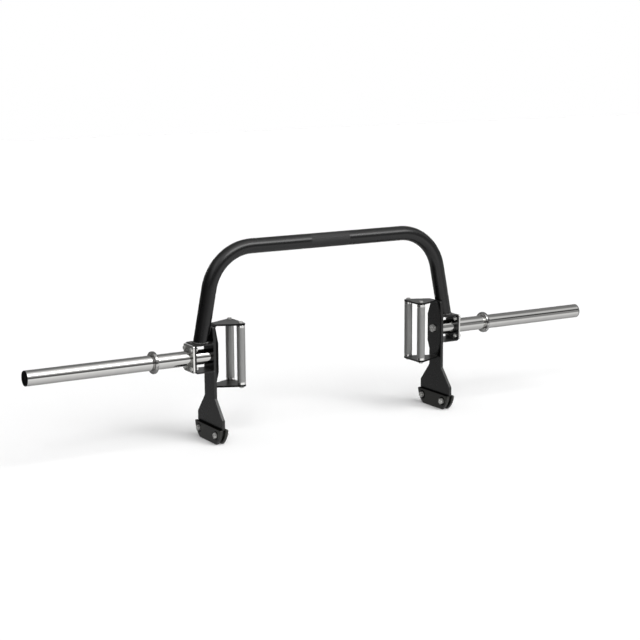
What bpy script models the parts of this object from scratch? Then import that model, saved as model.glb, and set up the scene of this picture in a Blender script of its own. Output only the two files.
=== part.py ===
"""Open-ended trap bar, standing on its own feet.

Metres, +Z up. X runs along the bar, Y from front to back, and the origin is on the
floor below the middle of the bar. The right side is modelled at +X. The left side
is the same set of pieces, turned half a turn about the upright line at the origin.
"""
import math
from collections import namedtuple

import bmesh
import bpy
from mathutils import Matrix, Vector

GAP = 0.0003                    # left between pieces that touch
OVERRUN = 0.010                 # how far a cutter passes the face that it cuts

# Layout of the whole bar
HALF_LENGTH = 1.092             # middle of the bar to the outer face of an end plug
SLEEVE_AXIS_Z = 0.286           # floor to the axis of the sleeves
UPRIGHT_INNER_X = 0.447         # middle of the bar to an upright's inner face

# Upright plate, cut from 10 mm plate
UPRIGHT_THICKNESS = 0.010
UPRIGHT_WIDTH = 0.072
UPRIGHT_TOP_WIDTH = 0.057
UPRIGHT_RISE = 0.099            # sleeve axis to the upright's top edge
FLARE_MARGIN = 0.003            # the plate's flare ends this far inside the pads' top corners
FLARE_TOP_Z = 0.148
FLARE_BOTTOM_Z = 0.084
UPRIGHT_CORNER = 0.004          # rounding of the plate's corners

# Foot pads, one on each face of the upright
PAD_THICKNESS = 0.010
PAD_HEIGHT = 0.053
PAD_TOP_WIDTH = 0.185
PAD_FLOOR_WIDTH = 0.120
PAD_END_BULGE = 0.006           # how far an end bows out from a straight line
PAD_CORNER = 0.004
UPRIGHT_INSET = 0.005           # the upright's lower edge stays this far inside the pads
FOOT_BOLT_MARGIN = 0.031        # a pad's top corner to the bolt beside it, along Y
FOOT_BOLT_Z = 0.031

# Sleeve bracket, a channel that lies front to back, its open side against the upright
BRACKET_WIDTH = 0.067           # along X
BRACKET_HEIGHT = 0.096
BRACKET_DEPTH = 0.076           # along Y
BRACKET_WALL = 0.005
BRACKET_CORNER = 0.009          # outer radius of its two folds

# Sleeve assembly: the tube runs through its flange and the bracket up to the upright
FLANGE_THICKNESS = 0.006
FLANGE_HEIGHT = 0.090
FLANGE_DEPTH = 0.072
FLANGE_CORNER = 0.006
FLANGE_BOLT_SPACING_Y = 0.051
FLANGE_BOLT_SPACING_Z = 0.063
SLEEVE_DIAMETER = 0.050
SLEEVE_WALL = 0.004
SLEEVE_EDGE = 0.001             # chamfer on the sleeve's ends
LOADING_LENGTH = 0.427          # collar face to the outer face of the end plug
COLLAR_DIAMETER = 0.074
COLLAR_WIDTH = 0.014
COLLAR_ROUND = 0.0045
CORE_LENGTH = 0.060             # tapped core in the sleeve's inner end
CORE_CHAMFER = 0.0015
PLUG_LENGTH = 0.012             # part of the end plug inside the sleeve
PLUG_HEAD = 0.003               # thickness of its head, which covers the sleeve's end
PLUG_CHAMFER = 0.001

# Handle bracket, folded from one strip of 6 mm sheet
SHEET = 0.006
BEND_RADIUS = 0.006             # inside radius of a fold
WEB_WIDTH = 0.078
WEB_FULL_HEIGHT = 0.095         # height over which the web keeps its full width
ROOT_WIDTH = 0.041              # width of the strip at its folds
EYE_RADIUS = 0.0145             # rounded corner around a grip bolt
GRIP_REACH = 0.089              # upright's inner face to the grips' axes
GRIP_SPACING = 0.080            # front grip to rear grip
GRIP_LENGTH = 0.200
GRIP_DIAMETER = 0.028
GRIP_CHAMFER = 0.0010
GRIP_THREAD_DEPTH = 0.026

# Arch that joins the two sides over the lifter's legs
ARCH_DIAMETER = 0.050
ARCH_WALL = 0.003
ARCH_AXIS_Z = 0.638
ARCH_BEND_RADIUS = 0.160
ARCH_LEAN = math.radians(11)    # how far a leg leans in from the vertical
ARCH_FOOT_INSET = 0.0287        # upright's outer face to the leg's axis, at the bracket

# Fasteners: shank, width across flats, head and nut heights
Fastener = namedtuple("Fastener", "shank flats head nut")
M8 = Fastener(0.008, 0.013, 0.0053, 0.0068)
M12 = Fastener(0.012, 0.018, 0.0075, 0.0100)
M16 = Fastener(0.016, 0.024, 0.0100, 0.0130)
THREAD_TAIL = 0.003             # bolt end that shows past its nut
SHAFT_BOLT_GRIP = 0.030         # thread engaged in the core

# Smoothness
ROUND_STEPS = 32                # facets of a turned piece and of the holes that fit it
SMALL_STEPS = 16                # facets of a bolt and of its holes
BEND_STEPS = 10                 # straight pieces in a bend of the arch
TUBE_SIDES = 28                 # sides of the arch's tube
BORE_SIDES = 16                 # sides of the bore inside it
CORNER_STEPS = 3                # straight pieces in a rounded corner
BOW_STEPS = 6                   # straight pieces in a bowed end of a foot

# Places that follow from the sizes above
UPRIGHT_OUTER_X = UPRIGHT_INNER_X + UPRIGHT_THICKNESS
UPRIGHT_TOP_Z = SLEEVE_AXIS_Z + UPRIGHT_RISE
BRACKET_INNER_X = UPRIGHT_OUTER_X + GAP
BRACKET_OUTER_X = BRACKET_INNER_X + BRACKET_WIDTH
BRACKET_TOP_Z = SLEEVE_AXIS_Z + BRACKET_HEIGHT / 2
FLANGE_INNER_X = BRACKET_OUTER_X + GAP
FLANGE_OUTER_X = FLANGE_INNER_X + FLANGE_THICKNESS
SLEEVE_INNER_X = UPRIGHT_OUTER_X + GAP
SLEEVE_END_X = HALF_LENGTH - PLUG_HEAD - GAP
COLLAR_OUTER_X = HALF_LENGTH - LOADING_LENGTH
WEB_OUTER_X = UPRIGHT_INNER_X - GAP
WEB_INNER_X = WEB_OUTER_X - SHEET
GRIP_X = UPRIGHT_INNER_X - GRIP_REACH
GRIP_TOP_Z = SLEEVE_AXIS_Z + GRIP_LENGTH / 2
GRIP_BOTTOM_Z = SLEEVE_AXIS_Z - GRIP_LENGTH / 2
PAD_OUTER_X = UPRIGHT_OUTER_X + GAP + PAD_THICKNESS
PAD_INNER_X = UPRIGHT_INNER_X - GAP - PAD_THICKNESS
ARCH_FOOT_X = UPRIGHT_OUTER_X + ARCH_FOOT_INSET

# Colour, roughness and metallic value of each finish
FINISHES = {
    "black_paint": ((0.022, 0.022, 0.023, 1.0), 0.55, 0.0),
    "chrome": ((0.62, 0.61, 0.59, 1.0), 0.12, 1.0),
    "zinc": ((0.55, 0.55, 0.53, 1.0), 0.32, 1.0),
    "knurled_steel": ((0.30, 0.30, 0.29, 1.0), 0.48, 1.0),
    "black_plastic": ((0.018, 0.018, 0.018, 1.0), 0.62, 0.0),
}

# Turns a shape drawn flat, or turned about Z, so that its Z runs along the axis named
ALONG = {
    "X": Matrix(((0, 0, 1, 0), (1, 0, 0, 0), (0, 1, 0, 0), (0, 0, 0, 1))),
    "Y": Matrix(((1, 0, 0, 0), (0, 0, -1, 0), (0, 1, 0, 0), (0, 0, 0, 1))),
    "Z": Matrix.Identity(4),
    "-X": Matrix(((0, 0, -1, 0), (1, 0, 0, 0), (0, -1, 0, 0), (0, 0, 0, 1))),
    "-Z": Matrix(((1, 0, 0, 0), (0, -1, 0, 0), (0, 0, -1, 0), (0, 0, 0, 1))),
}


def clear_scene():
    """Remove what a new file holds."""
    for old in list(bpy.data.objects):
        bpy.data.objects.remove(old, do_unlink=True)


def new_collection(name):
    """A collection in the scene."""
    made = bpy.data.collections.new(name)
    bpy.context.scene.collection.children.link(made)
    return made


def finish_material(name, finish):
    """A Principled material for one sub-part."""
    colour, roughness, metallic = FINISHES[finish]
    material = bpy.data.materials.new(name)
    material.use_nodes = True
    shader = material.node_tree.nodes["Principled BSDF"]
    shader.inputs["Base Color"].default_value = colour
    shader.inputs["Roughness"].default_value = roughness
    shader.inputs["Metallic"].default_value = metallic
    return material


def add_part(name, mesh, place, finish):
    """Put a mesh in the scene as a named sub-part."""
    part = bpy.data.objects.new(name, mesh)
    part.matrix_world = place
    PARTS.objects.link(part)
    mesh.materials.clear()
    mesh.materials.append(finish_material(name, finish))
    mesh.shade_smooth()
    mesh.set_sharp_from_angle(angle=math.radians(35))
    return part


def add_cutter(name, mesh, place=Matrix.Identity(4)):
    """Put a mesh in the scene as a tool that only shapes other pieces."""
    cutter = bpy.data.objects.new(name, mesh)
    cutter.matrix_world = place
    cutter.display_type = "WIRE"
    cutter.hide_render = True
    CUTTERS.objects.link(cutter)
    return cutter


def boolean(target, cutter, operation="DIFFERENCE"):
    """Cut, join or trim one object by another."""
    step = target.modifiers.new(operation.title(), "BOOLEAN")
    step.operation = operation
    step.solver = "EXACT"
    step.object = cutter


def evaluated_mesh(thing):
    """The mesh that an object shows, with its loose caps and seams joined."""
    bpy.context.view_layer.update()
    depsgraph = bpy.context.evaluated_depsgraph_get()
    mesh = bpy.data.meshes.new_from_object(thing.evaluated_get(depsgraph))
    shape = bmesh.new()
    shape.from_mesh(mesh)
    bmesh.ops.remove_doubles(shape, verts=shape.verts, dist=0.000001)
    shape.to_mesh(mesh)
    shape.free()
    return mesh


def curve_mesh(name, curve):
    """A curve's solid as a mesh in the curve's own axes."""
    drawn = bpy.data.objects.new(name, curve)
    CUTTERS.objects.link(drawn)
    mesh = evaluated_mesh(drawn)
    bpy.data.objects.remove(drawn)
    mesh.name = name
    return mesh


def arc(centre, radius, start, end, steps):
    """Points on an arc, from one angle to another."""
    angles = [start + (end - start) * i / steps for i in range(steps + 1)]
    return [(centre[0] + radius * math.cos(a), centre[1] + radius * math.sin(a))
            for a in angles]


def bowed(start, end, bulge, steps=BOW_STEPS):
    """Points on a shallow arc that bows to the right of the line from start to end."""
    first = Vector(start)
    chord = Vector(end) - first
    half = chord.length / 2
    radius = (half * half + bulge * bulge) / (2 * bulge)
    outward = Vector((chord.y, -chord.x)).normalized()
    centre = first + chord / 2 - outward * (radius - bulge)
    swing = math.asin(half / radius)
    middle = math.atan2(outward.y, outward.x)
    return arc(centre, radius, middle - swing, middle + swing, steps)


def rounded(corners, steps=CORNER_STEPS):
    """An outline whose corners, given as (u, v, radius), are rounded."""
    outline = []
    count = len(corners)
    for i, (u, v, radius) in enumerate(corners):
        corner = Vector((u, v))
        if radius <= 0:
            outline.append((u, v))
            continue
        before = (Vector(corners[i - 1][:2]) - corner).normalized()
        after = (Vector(corners[(i + 1) % count][:2]) - corner).normalized()
        half_angle = before.angle(after) / 2
        centre = corner + (before + after).normalized() * radius / math.sin(half_angle)
        reach = radius / math.tan(half_angle)
        first = corner + before * reach - centre
        last = corner + after * reach - centre
        start = math.atan2(first.y, first.x)
        turn = first.angle_signed(last)
        outline += arc(centre, radius, start, start - turn, steps)
    return outline


def mirrored(half):
    """A closed outline from its right half, listed from top to bottom."""
    return half + [(-u, v) for u, v in reversed(half)]


def box_outline(width, height, corner):
    """A rectangle round the middle, with rounded corners."""
    u = width / 2
    v = height / 2
    return rounded([(u, v, corner), (-u, v, corner), (-u, -v, corner), (u, -v, corner)])


def flat_mesh(name, loops, thickness):
    """A flat outline, less the loops inside it, with half its thickness on each side."""
    curve = bpy.data.curves.new(name, "CURVE")
    curve.dimensions = "2D"
    curve.fill_mode = "BOTH"
    curve.extrude = thickness / 2
    for loop in loops:
        spline = curve.splines.new("POLY")
        spline.points.add(len(loop) - 1)
        for point, (u, v) in zip(spline.points, loop):
            point.co = (u, v, 0, 1)
        spline.use_cyclic_u = True
    mesh = curve_mesh(name, curve)
    bpy.data.curves.remove(curve)
    return mesh


def turned_mesh(name, profile, steps, closed):
    """A profile of (radius, z), listed down its outer side, turned about Z."""
    shape = bmesh.new()
    points = [shape.verts.new((radius, 0, z)) for radius, z in profile]
    ends = points[1:] + points[:1] if closed else points[1:]
    for start, end in zip(points, ends):
        shape.edges.new((start, end))
    mesh = bpy.data.meshes.new(name + "_profile")
    shape.to_mesh(mesh)
    shape.free()
    drawn = bpy.data.objects.new(name, mesh)
    CUTTERS.objects.link(drawn)
    screw = drawn.modifiers.new("Screw", "SCREW")
    screw.steps = steps
    screw.render_steps = steps
    screw.use_merge_vertices = True
    screw.merge_threshold = 0.00001
    turned = evaluated_mesh(drawn)
    bpy.data.objects.remove(drawn)
    turned.name = name
    return turned


def rods_mesh(name, places, diameter, length, steps=SMALL_STEPS):
    """Round bars along Z, each centred on its place."""
    shape = bmesh.new()
    for place in places:
        bmesh.ops.create_cone(shape, cap_ends=True, segments=steps, radius1=diameter / 2,
                              radius2=diameter / 2, depth=length,
                              matrix=Matrix.Translation(place))
    mesh = bpy.data.meshes.new(name)
    shape.to_mesh(mesh)
    shape.free()
    return mesh


def drill(target, name, places, diameter, length, axis, steps=SMALL_STEPS):
    """Drill round holes through a piece, centred on the places given."""
    turn = ALONG[axis]
    flat_places = [turn.inverted() @ Vector(place) for place in places]
    mesh = rods_mesh(name, flat_places, diameter, length, steps)
    boolean(target, add_cutter(name, mesh, turn))


def hexagon(name, size, height):
    """A hexagonal block that stands on the XY plane."""
    shape = bmesh.new()
    bmesh.ops.create_cone(shape, cap_ends=True, segments=6, radius1=size.flats / math.sqrt(3),
                          radius2=size.flats / math.sqrt(3), depth=height,
                          matrix=Matrix.Translation((0, 0, height / 2)))
    mesh = bpy.data.meshes.new(name)
    shape.to_mesh(mesh)
    shape.free()
    block = bpy.data.objects.new(name, mesh)
    CUTTERS.objects.link(block)
    return block


def bolt_mesh(name, size, length):
    """A hexagon bolt: the head stands on the XY plane and the shank hangs below it."""
    head = hexagon(name, size, size.head)
    full = length + size.head / 2
    middle = Vector((0, 0, size.head / 2 - full / 2))
    shank = add_cutter(name + "_shank", rods_mesh(name + "_shank", [middle], size.shank, full))
    boolean(head, shank, "UNION")
    mesh = evaluated_mesh(head)
    bpy.data.objects.remove(head)
    return mesh


def nut_mesh(name, size):
    """A hexagon nut that stands on the XY plane, with clearance round its bolt."""
    block = hexagon(name, size, size.nut)
    bore = size.shank + 2 * GAP
    middle = Vector((0, 0, size.nut / 2))
    drill(block, name + "_bore", [middle], bore, size.nut + 2 * OVERRUN, "Z")
    mesh = evaluated_mesh(block)
    bpy.data.objects.remove(block)
    return mesh


def placed(x, y, z, axis="Z"):
    """A place with its local Z along the axis named."""
    return Matrix.Translation((x, y, z)) @ ALONG[axis]


def repeated(kind, mesh, spots, finish):
    """Identical pieces, one object for each named spot."""
    return [add_part(kind + "_" + spot + "_right", mesh.copy(), place, finish)
            for spot, place in spots.items()]


def foot_bolt_places():
    """Y places of the two bolts in a foot."""
    y = PAD_TOP_WIDTH / 2 - FOOT_BOLT_MARGIN
    return {"front": -y, "rear": y}


def flange_bolt_places():
    """Y and Z places of the four bolts in a flange."""
    half_y = FLANGE_BOLT_SPACING_Y / 2
    half_z = FLANGE_BOLT_SPACING_Z / 2
    return {depth + "_" + level: (y, SLEEVE_AXIS_Z + z)
            for depth, y in (("front", -half_y), ("rear", half_y))
            for level, z in (("upper", half_z), ("lower", -half_z))}


def arch_path(extra):
    """Axis of the arch, from foot to foot, running on past each foot by extra."""
    along = Vector((-math.sin(ARCH_LEAN), math.cos(ARCH_LEAN)))
    foot = Vector((ARCH_FOOT_X, BRACKET_TOP_Z))
    climb = (ARCH_AXIS_Z - foot.y) / along.y
    meeting = foot + along * climb
    bend = math.pi / 2 - ARCH_LEAN
    tangent = ARCH_BEND_RADIUS * math.tan(bend / 2)
    centre = (meeting.x - tangent, ARCH_AXIS_Z - ARCH_BEND_RADIUS)
    start = foot - along * extra
    corner = arc(centre, ARCH_BEND_RADIUS, ARCH_LEAN, math.pi / 2, BEND_STEPS)
    half = [(start.x, start.y)] + corner
    return half + [(-x, z) for x, z in reversed(half)]


def tube_mesh(name, path, diameter, sides):
    """A round bar along a path of (x, z) points in the plane y = 0."""
    curve = bpy.data.curves.new(name, "CURVE")
    curve.dimensions = "3D"
    curve.bevel_depth = diameter / 2
    curve.bevel_resolution = (sides - 4) // 2
    curve.use_fill_caps = True
    spline = curve.splines.new("POLY")
    spline.points.add(len(path) - 1)
    for point, (x, z) in zip(spline.points, path):
        point.co = (x, 0, z, 1)
    mesh = curve_mesh(name, curve)
    bpy.data.curves.remove(curve)
    return mesh


def make_arch():
    """Bent tube, cut square on the brackets and notched over the uprights' top edges."""
    outside = tube_mesh("arch_tube", arch_path(ARCH_DIAMETER), ARCH_DIAMETER, TUBE_SIDES)
    arch = add_part("arch_tube", outside, Matrix.Identity(4), "black_paint")
    bore = ARCH_DIAMETER - 2 * ARCH_WALL
    inside = tube_mesh("arch_bore", arch_path(ARCH_DIAMETER + OVERRUN), bore, BORE_SIDES)
    boolean(arch, add_cutter("arch_bore", inside))
    for side in (-1, 1):
        low = BRACKET_TOP_Z + GAP - ARCH_DIAMETER
        end_outline = box_outline(4 * ARCH_DIAMETER, 2 * ARCH_DIAMETER, 0)
        square_end = flat_mesh("arch_foot_cut", [end_outline], 2 * ARCH_DIAMETER)
        boolean(arch, add_cutter("arch_foot_cut", square_end,
                                 placed(side * ARCH_FOOT_X, 0, low, "Y")))
        depth = ARCH_DIAMETER
        reach = UPRIGHT_OUTER_X + GAP
        height = UPRIGHT_TOP_Z + GAP - BRACKET_TOP_Z + OVERRUN
        notch = flat_mesh("arch_notch", [box_outline(depth, height, 0)], 2 * ARCH_DIAMETER)
        boolean(arch, add_cutter("arch_notch", notch,
                                 placed(side * (reach - depth / 2), 0,
                                        UPRIGHT_TOP_Z + GAP - height / 2, "Y")))
    return arch


def pad_end(half_width, inset):
    """Bowed right-hand end of a foot, from just below its top corner to the floor."""
    top = (half_width, PAD_HEIGHT - PAD_CORNER)
    floor = (PAD_FLOOR_WIDTH / 2 - inset / 2, inset)
    return list(reversed(bowed(floor, top, PAD_END_BULGE)))


def make_upright():
    """Flat plate from the arch's foot down to the pads."""
    top = UPRIGHT_TOP_WIDTH / 2
    half_width = UPRIGHT_WIDTH / 2
    flare = PAD_TOP_WIDTH / 2 - FLARE_MARGIN
    corners = [(-top, UPRIGHT_TOP_Z, 0),
               (top, UPRIGHT_TOP_Z, UPRIGHT_CORNER),
               (half_width, BRACKET_TOP_Z, 0),
               (half_width, FLARE_TOP_Z, UPRIGHT_CORNER),
               (flare, FLARE_BOTTOM_Z, UPRIGHT_CORNER),
               (flare, PAD_HEIGHT, 0)]
    outline = mirrored(rounded(corners)[1:-1] + pad_end(flare, UPRIGHT_INSET))
    mesh = flat_mesh("upright_plate", [outline], UPRIGHT_THICKNESS)
    middle = (UPRIGHT_INNER_X + UPRIGHT_OUTER_X) / 2
    upright = add_part("upright_plate_right", mesh, placed(middle, 0, 0, "X"), "black_paint")
    drill(upright, "upright_shaft_hole", [(middle, 0, SLEEVE_AXIS_Z)],
          M16.shank + 2 * GAP, UPRIGHT_THICKNESS + 2 * OVERRUN, "X")
    drill(upright, "upright_foot_holes", [(middle, y, FOOT_BOLT_Z) for y in foot_bolt_places().values()],
          M12.shank + 2 * GAP, UPRIGHT_THICKNESS + 2 * OVERRUN, "X")
    return upright


def make_foot():
    """A pad on each face of the upright, held by two bolts."""
    half_width = PAD_TOP_WIDTH / 2
    top_arc = arc((half_width - PAD_CORNER, PAD_HEIGHT - PAD_CORNER), PAD_CORNER,
                  math.pi / 2, 0, CORNER_STEPS)
    outline = mirrored(top_arc[:-1] + pad_end(half_width, 0))
    pads = []
    for name, inner_face in (("foot_pad_outer_right", UPRIGHT_OUTER_X + GAP),
                             ("foot_pad_inner_right", PAD_INNER_X)):
        middle = inner_face + PAD_THICKNESS / 2
        mesh = flat_mesh(name, [outline], PAD_THICKNESS)
        pad = add_part(name, mesh, placed(middle, 0, 0, "X"), "black_plastic")
        drill(pad, name + "_holes", [(middle, y, FOOT_BOLT_Z) for y in foot_bolt_places().values()],
              M12.shank + 2 * GAP, PAD_THICKNESS + 2 * OVERRUN, "X")
        pads.append(pad)
    head = PAD_OUTER_X + GAP
    nut = PAD_INNER_X - GAP
    length = head - nut + M12.nut + THREAD_TAIL
    bolts = {spot: placed(head, y, FOOT_BOLT_Z, "X") for spot, y in foot_bolt_places().items()}
    nuts = {spot: placed(nut, y, FOOT_BOLT_Z, "-X") for spot, y in foot_bolt_places().items()}
    pads += repeated("foot_bolt", bolt_mesh("foot_bolt", M12, length), bolts, "zinc")
    pads += repeated("foot_nut", nut_mesh("foot_nut", M12), nuts, "zinc")
    return pads


def channel_outline():
    """Channel seen along the bar's depth, its open side towards the middle of the bar."""
    u = BRACKET_WIDTH / 2
    v = BRACKET_HEIGHT / 2
    inner_corner = max(BRACKET_CORNER - BRACKET_WALL, BRACKET_WALL / 4)
    return rounded([(u, v, BRACKET_CORNER), (-u, v, 0), (-u, v - BRACKET_WALL, 0),
                    (u - BRACKET_WALL, v - BRACKET_WALL, inner_corner),
                    (u - BRACKET_WALL, BRACKET_WALL - v, inner_corner),
                    (-u, BRACKET_WALL - v, 0), (-u, -v, 0), (u, -v, BRACKET_CORNER)])


def make_sleeve_bracket():
    """Channel, open to the front and back, that carries the sleeve on its outer wall."""
    mesh = flat_mesh("sleeve_bracket", [channel_outline()], BRACKET_DEPTH)
    middle = (BRACKET_INNER_X + BRACKET_OUTER_X) / 2
    bracket = add_part("sleeve_bracket_right", mesh, placed(middle, 0, SLEEVE_AXIS_Z, "Y"),
                       "black_paint")
    outer_wall = BRACKET_OUTER_X - BRACKET_WALL / 2
    through = 2 * BRACKET_WALL
    drill(bracket, "bracket_sleeve_hole", [(outer_wall, 0, SLEEVE_AXIS_Z)],
          SLEEVE_DIAMETER + 2 * GAP, through, "X", ROUND_STEPS)
    drill(bracket, "bracket_flange_holes", [(outer_wall, y, z) for y, z in flange_bolt_places().values()],
          M8.shank + 2 * GAP, through, "X")
    return bracket


def make_flange():
    """Plate round the sleeve, bolted to the bracket at its corners."""
    outline = box_outline(FLANGE_DEPTH, FLANGE_HEIGHT, FLANGE_CORNER)
    mesh = flat_mesh("flange_plate", [outline], FLANGE_THICKNESS)
    middle = (FLANGE_INNER_X + FLANGE_OUTER_X) / 2
    flange = add_part("flange_plate_right", mesh, placed(middle, 0, SLEEVE_AXIS_Z, "X"), "chrome")
    through = FLANGE_THICKNESS + 2 * OVERRUN
    drill(flange, "flange_sleeve_hole", [(middle, 0, SLEEVE_AXIS_Z)],
          SLEEVE_DIAMETER + 2 * GAP, through, "X", ROUND_STEPS)
    drill(flange, "flange_holes", [(middle, y, z) for y, z in flange_bolt_places().values()],
          M8.shank + 2 * GAP, through, "X")
    head = FLANGE_OUTER_X + GAP
    nut = BRACKET_OUTER_X - BRACKET_WALL - GAP
    length = head - nut + M8.nut + THREAD_TAIL
    places = flange_bolt_places()
    bolts = {spot: placed(head, y, z, "X") for spot, (y, z) in places.items()}
    nuts = {spot: placed(nut, y, z, "-X") for spot, (y, z) in places.items()}
    made = repeated("flange_bolt", bolt_mesh("flange_bolt", M8, length), bolts, "zinc")
    made += repeated("flange_nut", nut_mesh("flange_nut", M8), nuts, "zinc")
    return [flange] + made


def make_sleeve():
    """Tube that the weight plates slide on, with its collar, core, plug and end bolt."""
    outer = SLEEVE_DIAMETER / 2
    bore = outer - SLEEVE_WALL
    length = SLEEVE_END_X - SLEEVE_INNER_X
    tube = [(outer - SLEEVE_EDGE, length), (outer, length - SLEEVE_EDGE), (outer, 0),
            (bore, 0), (bore, length)]
    sleeve = add_part("sleeve_tube_right", turned_mesh("sleeve_tube", tube, ROUND_STEPS, True),
                      placed(SLEEVE_INNER_X, 0, SLEEVE_AXIS_Z, "X"), "chrome")

    rim = COLLAR_DIAMETER / 2
    seat = outer + GAP
    soften = min(COLLAR_ROUND, COLLAR_WIDTH / 2, rim - seat)
    top_round = arc((rim - soften, COLLAR_WIDTH - soften), soften, math.pi / 2, 0, CORNER_STEPS)
    low_round = arc((rim - soften, soften), soften, 0, -math.pi / 2, CORNER_STEPS)
    ring = top_round + low_round + [(seat, 0), (seat, COLLAR_WIDTH)]
    collar = add_part("collar_ring_right", turned_mesh("collar_ring", ring, ROUND_STEPS, True),
                      placed(COLLAR_OUTER_X - COLLAR_WIDTH, 0, SLEEVE_AXIS_Z, "X"), "chrome")

    side = bore - GAP
    thread = M16.shank / 2 + GAP
    depth = SHAFT_BOLT_GRIP + 2 * GAP
    bar = [(0, CORE_LENGTH), (side - CORE_CHAMFER, CORE_LENGTH), (side, CORE_LENGTH - CORE_CHAMFER),
           (side, CORE_CHAMFER), (side - CORE_CHAMFER, 0), (thread, 0), (thread, depth), (0, depth)]
    core = add_part("sleeve_core_right", turned_mesh("sleeve_core", bar, ROUND_STEPS, False),
                    placed(SLEEVE_INNER_X, 0, SLEEVE_AXIS_Z, "X"), "zinc")

    stem = bore - GAP
    head = outer - GAP
    face = PLUG_LENGTH + PLUG_HEAD
    cap = [(0, face), (head - PLUG_CHAMFER, face), (head, face - PLUG_CHAMFER), (head, PLUG_LENGTH),
           (stem, PLUG_LENGTH), (stem, 0), (0, 0)]
    plug = add_part("end_plug_right", turned_mesh("end_plug", cap, ROUND_STEPS, False),
                    placed(HALF_LENGTH - face, 0, SLEEVE_AXIS_Z, "X"), "black_plastic")

    head_face = WEB_INNER_X - GAP
    bolt_length = SLEEVE_INNER_X + SHAFT_BOLT_GRIP - head_face
    bolt = add_part("shaft_bolt_right", bolt_mesh("shaft_bolt", M16, bolt_length),
                    placed(head_face, 0, SLEEVE_AXIS_Z, "-X"), "zinc")
    return [sleeve, collar, core, plug, bolt]


def folded_strip_outline():
    """Side view of the folded strip: a web with a shelf at its top and bottom."""
    tip = GRIP_X - EYE_RADIUS - OVERRUN
    fold = BEND_RADIUS
    outer_fold = BEND_RADIUS + SHEET
    return rounded([(tip, GRIP_TOP_Z, 0), (WEB_INNER_X, GRIP_TOP_Z, fold),
                    (WEB_INNER_X, GRIP_BOTTOM_Z, fold), (tip, GRIP_BOTTOM_Z, 0),
                    (tip, GRIP_BOTTOM_Z - SHEET, 0), (WEB_OUTER_X, GRIP_BOTTOM_Z - SHEET, outer_fold),
                    (WEB_OUTER_X, GRIP_TOP_Z + SHEET, outer_fold), (tip, GRIP_TOP_Z + SHEET, 0)])


def web_outline():
    """Front view of the web, whose sides slope in until they meet past its folds."""
    narrow = GRIP_LENGTH / 2 - BEND_RADIUS
    wide = min(WEB_FULL_HEIGHT / 2, narrow - SHEET)
    full = WEB_WIDTH / 2
    peak = wide + (narrow - wide) * full / (full - ROOT_WIDTH / 2)
    return [(0, peak), (full, wide), (full, -wide), (0, -peak), (-full, -wide), (-full, wide)]


def shelf_outline():
    """Top view of a shelf and its fold, which widens to an eye at each grip."""
    root = ROOT_WIDTH / 2
    fold_x = WEB_INNER_X - BEND_RADIUS
    eye_y = GRIP_SPACING / 2
    across = Vector((fold_x - GRIP_X, root - eye_y))
    spread = math.atan2(across.y, across.x) + math.acos(EYE_RADIUS / across.length)
    eye = arc((GRIP_X, eye_y), EYE_RADIUS, spread, math.pi, 3 * CORNER_STEPS)
    half = [(WEB_OUTER_X + OVERRUN, root), (fold_x, root)] + eye
    return half + [(x, -y) for x, y in reversed(half)]


def make_handle_bracket():
    """Strip folded into a web and two shelves, then trimmed to its outline."""
    strip_width = max(GRIP_SPACING + 2 * EYE_RADIUS, WEB_WIDTH) + 2 * OVERRUN
    strip = flat_mesh("handle_bracket", [folded_strip_outline()], strip_width)
    bracket = add_part("handle_bracket_right", strip, placed(0, 0, 0, "Y"), "black_paint")
    web_inside = WEB_INNER_X - BEND_RADIUS / 2
    web_outside = WEB_OUTER_X + 2 * OVERRUN
    web = add_cutter("web_outline", flat_mesh("web_outline", [web_outline()], web_outside - web_inside),
                     placed((web_inside + web_outside) / 2, 0, SLEEVE_AXIS_Z, "X"))
    height = GRIP_LENGTH + 2 * SHEET + 2 * OVERRUN
    shelf = add_cutter("shelf_outline", flat_mesh("shelf_outline", [shelf_outline()], height + OVERRUN),
                       placed(0, 0, SLEEVE_AXIS_Z))
    boolean(web, shelf, "UNION")
    boolean(bracket, web, "INTERSECT")
    drill(bracket, "web_shaft_hole", [((WEB_INNER_X + WEB_OUTER_X) / 2, 0, SLEEVE_AXIS_Z)],
          M16.shank + 2 * GAP, SHEET + 2 * GAP + BEND_RADIUS, "X")
    eyes = [(GRIP_X, -GRIP_SPACING / 2, SLEEVE_AXIS_Z), (GRIP_X, GRIP_SPACING / 2, SLEEVE_AXIS_Z)]
    drill(bracket, "grip_bolt_holes", eyes, M8.shank + 2 * GAP, height, "Z")
    return bracket


def make_grips():
    """Two knurled bars between the shelves, each held by a bolt at both ends."""
    radius = GRIP_DIAMETER / 2
    length = GRIP_LENGTH - 2 * GAP
    thread = M8.shank / 2 + GAP
    upper = [(0, length - GRIP_THREAD_DEPTH), (thread, length - GRIP_THREAD_DEPTH),
             (thread, length), (radius - GRIP_CHAMFER, length), (radius, length - GRIP_CHAMFER)]
    profile = upper + [(r, length - z) for r, z in reversed(upper)]
    grips = []
    for name, y in (("grip_front_right", -GRIP_SPACING / 2), ("grip_rear_right", GRIP_SPACING / 2)):
        grips.append(add_part(name, turned_mesh(name, profile, ROUND_STEPS, False),
                              placed(GRIP_X, y, GRIP_BOTTOM_Z + GAP), "knurled_steel"))
    top = GRIP_TOP_Z + SHEET + GAP
    low = GRIP_BOTTOM_Z - SHEET - GAP
    length = SHEET + GAP + GRIP_THREAD_DEPTH - 4 * GAP
    places = {depth + "_" + level: placed(GRIP_X, y, z, axis)
              for depth, y in (("front", -GRIP_SPACING / 2), ("rear", GRIP_SPACING / 2))
              for level, z, axis in (("upper", top, "Z"), ("lower", low, "-Z"))}
    return grips + repeated("grip_bolt", bolt_mesh("grip_bolt", M8, length), places, "zinc")


def other_side_name(name):
    """Name that a right-hand piece has after half a turn."""
    swap = {"right": "left", "front": "rear", "rear": "front"}
    return "_".join(swap.get(word, word) for word in name.split("_"))


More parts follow.
